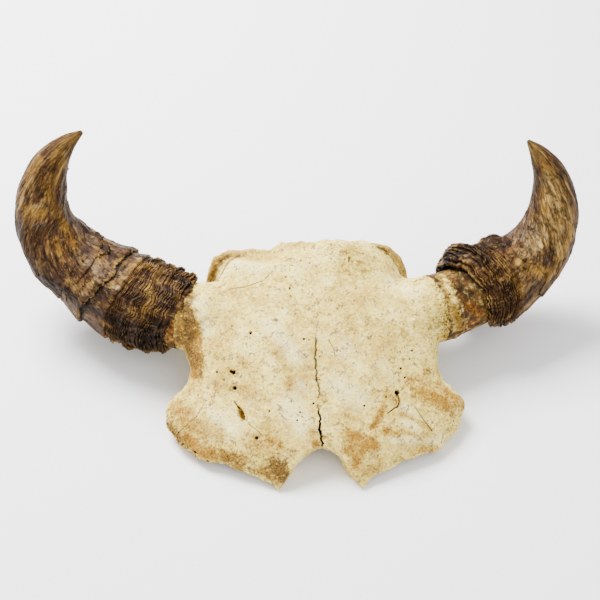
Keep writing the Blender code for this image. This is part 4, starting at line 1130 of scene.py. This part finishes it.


# Weathered bone: chalky, cream to tan, with rust and soil soaked into it, painted shade in its holes, cracks, open
# seam and closed-in hollows, open pores and a faint tooth

boneLook = {
    "surface": {"Roughness": 0.65, "IOR": 1.5, "Specular IOR Level": 0.15},
    "masks": ("porous", "paintedShade"),
    "patterns": {  # size, detail and roughness; real bone is grained at 0.2 mm, so the finest are drawn coarser
        "tone": (34, 8.0, 0.72), "coarse": (9, 6.0, 0.72), "fine": (3.0, 5.0, 0.8), "mottle": (12, 8.0, 0.8),
        "chalk": (4.5, 5.0, 0.75), "grain": (1.8, 4.0, 0.8), "loose": (7, 2.0, 0.6),
    },
    "base": ((0.36, "#b8963c"), (0.46, "#dcbe54"), (0.55, "#eed56c"), (0.66, "#fcec98")),
    "overlays": (  # tint, where it starts and is full, and its strength
        ("mottle", "#c29a45", 0.52, 0.62, 0.4), ("fine", "#8f6f26", 0.5, 0.62, 0.65),
        ("chalk", "#fcf1ae", 0.52, 0.62, 0.7),
    ),
    "stains": (  # strength, and the two tints that speckle each other
        ("white", 0.8, (0.4, "#f0e49a"), (0.6, "#fff6c4")), ("yellow", 0.9, (0.4, "#776010"), (0.6, "#b3921e")),
        ("tan", 0.85, (0.4, "#866420"), (0.6, "#bd9740")), ("orange", 0.95, (0.4, "#6e4a08"), (0.6, "#ad7a12")),
        # the soil tint marks soil stains, and also paints shade in closed-in hollows
        ("brown", 0.95, (0.4, "#2c1d0b"), (0.6, "#74541c")), ("soil", 0.85, (0.4, "#3a2a12"), (0.6, "#8c7038")),
    ),
    "broken": 4.6,  # how far the patterns break the stains up
    "pores": 3.0,  # their spacing in millimetres, about 1 in real bone, and drawn coarser to show
    "poresOpen": (-0.02, 0.34, 0.36),  # how wide they are everywhere, where it is porous, and with the pattern
    "poresDark": (0.09, 0.85),  # width of their rims and strength
    # the last colour is the near-black painted shade of holes, cracks, the open seam and deep hollows
    "speck": "#4b3618", "holeShade": "#120a05",
    "bump": (0.8, 0.001),  # strength and height in metres
}


def makeBoneMaterial():
    look = boneLook
    made = newMaterial("weathered_bone", look["surface"])
    tree = made.node_tree
    place = addNode(tree, "TexCoord", output="Object")
    parts = partsOf(tree, look, place)
    colour = addNode(tree, "ValToRGB", {"Fac": parts["tone"]}, stops=look["base"])
    for name, tint, *span in look["overlays"]:
        colour = covered(tree, colour, tint, parts[name], *span)
    rough = summed(tree, 0.0, (parts["coarse"], 0.5), (parts["fine"], 0.5))
    colour = stained(tree, colour, look, parts["grain"], rough)
    pores = addNode(tree, "TexVoronoi", {"Vector": place, "Scale": 1000 / look["pores"]})
    everywhere, porous, loose = look["poresOpen"]
    rim, most = look["poresDark"]
    inside = summed(tree, everywhere, (parts["porous"], porous), (parts["loose"], loose), (pores, -1.0))
    specks = addNode(tree, "MapRange", {"Value": inside, "From Max": rim, "To Max": most})
    colour = covered(tree, colour, look["speck"], specks)
    # painted shade in the holes, cracks, open seam and deep hollows
    colour = covered(tree, colour, look["holeShade"], parts["paintedShade"])
    return finishMaterial(made, look, colour, summed(tree, parts["fine"], (specks, -1.0)))


# Bare horn core: bone soaked brown and amber under the horn, furrowed and pitted

coreLook = {
    "surface": {"Roughness": 0.6, "IOR": 1.5, "Specular IOR Level": 0.08},
    "masks": (),
    "patterns": {"tone": (14, 7.0, 0.7), "rough": (6, 5.0, 0.7), "loose": (9, 2.0, 0.6)},  # as on the bones
    "base": ((0.34, "#1c1105"), (0.45, "#33220d"), (0.56, "#54391a"), (0.68, "#8a6a2c")),
    "stains": (
        ("yellow", 0.85, (0.4, "#6b5014"), (0.6, "#b8983a")), ("tan", 0.9, (0.4, "#967838"), (0.6, "#e6cf7c")),
        ("orange", 0.9, (0.4, "#4a2406"), (0.6, "#8a5612")), ("brown", 0.85, (0.4, "#1a1006"), (0.6, "#40301a")),
        ("white", 0.8, (0.4, "#8a7434"), (0.6, "#d8c078")),
    ),
    "broken": 2.2,
    "pits": 2.6,  # their spacing in millimetres, as the vessels really ran
    "pitsOpen": 0.55,  # how wide they are with the pattern
    "pitsDark": (0.1, 0.9),  # width of their rims and strength
    "pit": "#0e0703",
    "bump": (0.5, 0.001),
}


def makeCoreMaterial():
    look = coreLook
    made = newMaterial("stained_core", look["surface"])
    tree = made.node_tree
    place = addNode(tree, "TexCoord", output="Object")
    parts = partsOf(tree, look, place)
    colour = addNode(tree, "ValToRGB", {"Fac": parts["tone"]}, stops=look["base"])
    colour = stained(tree, colour, look, parts["rough"], parts["rough"])
    pits = addNode(tree, "TexVoronoi", {"Vector": place, "Scale": 1000 / look["pits"]})
    inside = summed(tree, 0.0, (parts["loose"], look["pitsOpen"]), (pits, -1.0))
    rim, most = look["pitsDark"]
    colour = covered(tree, colour, look["pit"], inside, 0.0, rim, most)
    return finishMaterial(made, look, colour, parts["rough"])


# Weathered horn, which is keratin: fibres along its length, dull where it flakes, golden where light gets
# into thin layers, with painted shade black in the gaps between them and painted highlight in flecks along the
# fibres

hornLook = {
    "surface": {"Roughness": 0.45, "IOR": 1.54, "Specular IOR Level": 0.07},
    "masks": ("page", "edge", "black", "groove"),
    "patterns": {  # size, detail, roughness, and width for their length; real fibres are 0.1 mm, drawn coarser
        "fibres": (3.6, 6.0, 0.68, 0.28), "patch": (9, 7.0, 0.68, 0.36), "grain": (1.7, 3.0, 0.6, 0.28),
    },
    "flakes": (9, 0.36, 6.25, 0.014),  # size, width for their length, and size and reach in metres of their bends
    "tones": (0.3, 1.0, 0.4),  # what the pages, the patches and the flakes add to the fibres
    "tonesSpan": (0.77, 1.8),
    "base": ((0.0, "#0e0703"), (0.35, "#27160b"), (0.6, "#452c17"), (0.8, "#664a27"), (1.0, "#8a6b39")),
    "stains": (
        ("gold", 0.85, (0.0, "#34200d"), (0.3, "#5f4118"), (0.55, "#825e24"), (0.8, "#a07c39"), (1.0, "#bd9b54")),
        ("amber", 0.85, (0.0, "#2b1505"), (0.5, "#5c3a0e"), (1.0, "#94701f")),
        ("grey", 0.8, (0.0, "#1e140e"), (0.5, "#40322a"), (1.0, "#7a6855")),
        # black is dark horn, and painted shade under the left horn's lip
        ("black", 0.95, (0.0, "#080302"), (0.6, "#1a0d08"), (1.0, "#372114")),
        ("pale", 0.7, (0.0, "#54401e"), (0.5, "#8d7140"), (1.0, "#d0b97c")),
    ),
    "broken": 2.2,
    "cracks": (0.09, 0.8),  # half width and strength
    "cracksWhere": (0.44, 0.54),
    # the second colour is the near-black painted shade of the gaps and rims
    "crack": "#170d06", "groove": "#060302",
    "grain": ("#9a7d3e", 0.58, 0.68, 0.4),  # painted highlight, light flecks along the fibres: tint, where it starts and is full, and its strength
    "edge": ("#9a7842", 0.45, 0.6, 0.75),
    "edgeBlack": -0.2,  # what the black marks, dark horn and painted shade, leave of the pale edges
    "relief": (0.22, -0.2),  # height of the flakes and of the cracks in the bump
    "bump": (0.9, 0.003),
}


def makeHornMaterial():
    look = hornLook
    made = newMaterial("weathered_horn", look["surface"])
    tree = made.node_tree
    wrap = addNode(tree, "Attribute", output="Vector", attribute_name="wrap")
    parts = partsOf(tree, look, wrap)
    size, narrow, bends, reach = look["flakes"]
    drawn = addNode(tree, "Mapping", {"Vector": wrap, "Scale": (1.0, 1.0, narrow)})
    warp = addNode(tree, "TexNoise", {"Vector": drawn, "Scale": 1000 / bends, "Detail": 5.0}, output="Color")
    spots = addNode(tree, "VectorMath", {0: warp, 1: (reach,) * 3, 2: drawn}, operation="MULTIPLY_ADD")
    cells = {"Vector": spots, "Scale": 1000 / size}
    flake = addNode(tree, "SeparateColor", {"Color": addNode(tree, "TexVoronoi", cells, output="Color")})
    borders = addNode(tree, "TexVoronoi", cells, feature="DISTANCE_TO_EDGE")
    page, patches, flakes = look["tones"]
    tone = summed(tree, parts["fibres"], (parts["page"], page), (parts["patch"], patches), (flake, flakes))
    low, high = look["tonesSpan"]
    tone = addNode(tree, "MapRange", {"Value": tone, "From Min": low, "From Max": high})
    rough = summed(tree, 0.0, (parts["fibres"], 0.5), (parts["patch"], 0.5))
    colour = addNode(tree, "ValToRGB", {"Fac": tone}, stops=look["base"])
    colour = stained(tree, colour, look, tone, rough)
    wide, most = look["cracks"]
    low, high = look["cracksWhere"]
    lines = addNode(tree, "MapRange", {"Value": borders, "From Min": wide, "From Max": 0.0, "To Max": most})
    where = addNode(tree, "MapRange", {"Value": parts["patch"], "From Min": low, "From Max": high})
    cracks = addNode(tree, "Math", {0: lines, 1: where}, operation="MULTIPLY")
    colour = covered(tree, colour, look["crack"], cracks)
    # painted highlight: light flecks along the fibres
    tint, *span = look["grain"]
    colour = covered(tree, colour, tint, parts["grain"], *span)
    rim = addNode(tree, "Math", {0: parts["edge"], 1: parts["patch"]}, operation="MULTIPLY")
    tint, *span = look["edge"]
    colour = covered(tree, colour, tint, summed(tree, rim, (parts["black"], look["edgeBlack"])), *span)
    # painted shade in the gaps between layers and along the islands' rims
    colour = covered(tree, colour, look["groove"], parts["groove"])
    flakes, lines = look["relief"]
    return finishMaterial(made, look, colour, summed(tree, rough, (flake, flakes), (cracks, lines)))


# Studio: pale table, soft sky and two large lamps

studio = {
    "table": "#f4f3f3",
    "surface": {"Roughness": 0.9, "IOR": 1.5, "Specular IOR Level": 0.3},
    "sky": 1.37,
    "key": {"place": (-0.8, 1.1, 1.8), "size": 1.1, "power": 205},
    "fill": {"place": (0.9, -1.3, 1.7), "size": 1.6, "power": 18},
}


def addStudio():
    bpy.ops.object.select_all(action="DESELECT")
    bpy.ops.mesh.primitive_plane_add(size=8, location=(0, 0, -0.2 * mm))
    table = bpy.context.active_object
    table.name = "table_top"
    finish = newMaterial("pale_table", {"Base Color": toLinear(studio["table"]), **studio["surface"]})
    table.data.materials.append(finish)
    world = bpy.data.worlds.new("soft_sky")
    bpy.context.scene.world = world
    world.use_nodes = True
    sky = {"Color": (1, 1, 1, 1), "Strength": studio["sky"]}
    setInputs(world.node_tree, world.node_tree.nodes["Background"], sky)
    for name in ("key", "fill"):
        lamp = bpy.data.lights.new(name, "AREA")
        lamp.size = studio[name]["size"]
        lamp.energy = studio[name]["power"]
        item = bpy.data.objects.new(name, lamp)
        item.location = studio[name]["place"]
        item.rotation_euler = (-Vector(studio[name]["place"])).to_track_quat("-Z", "Y").to_euler()
        bpy.context.scene.collection.objects.link(item)


addCamera()
addStudio()
boneMaterial = makeBoneMaterial()
coreMaterial = makeCoreMaterial()
hornMaterial = makeHornMaterial()
print("camera, studio and materials are ready")
for side in horns:
    makeHorn(side)
makeBones()
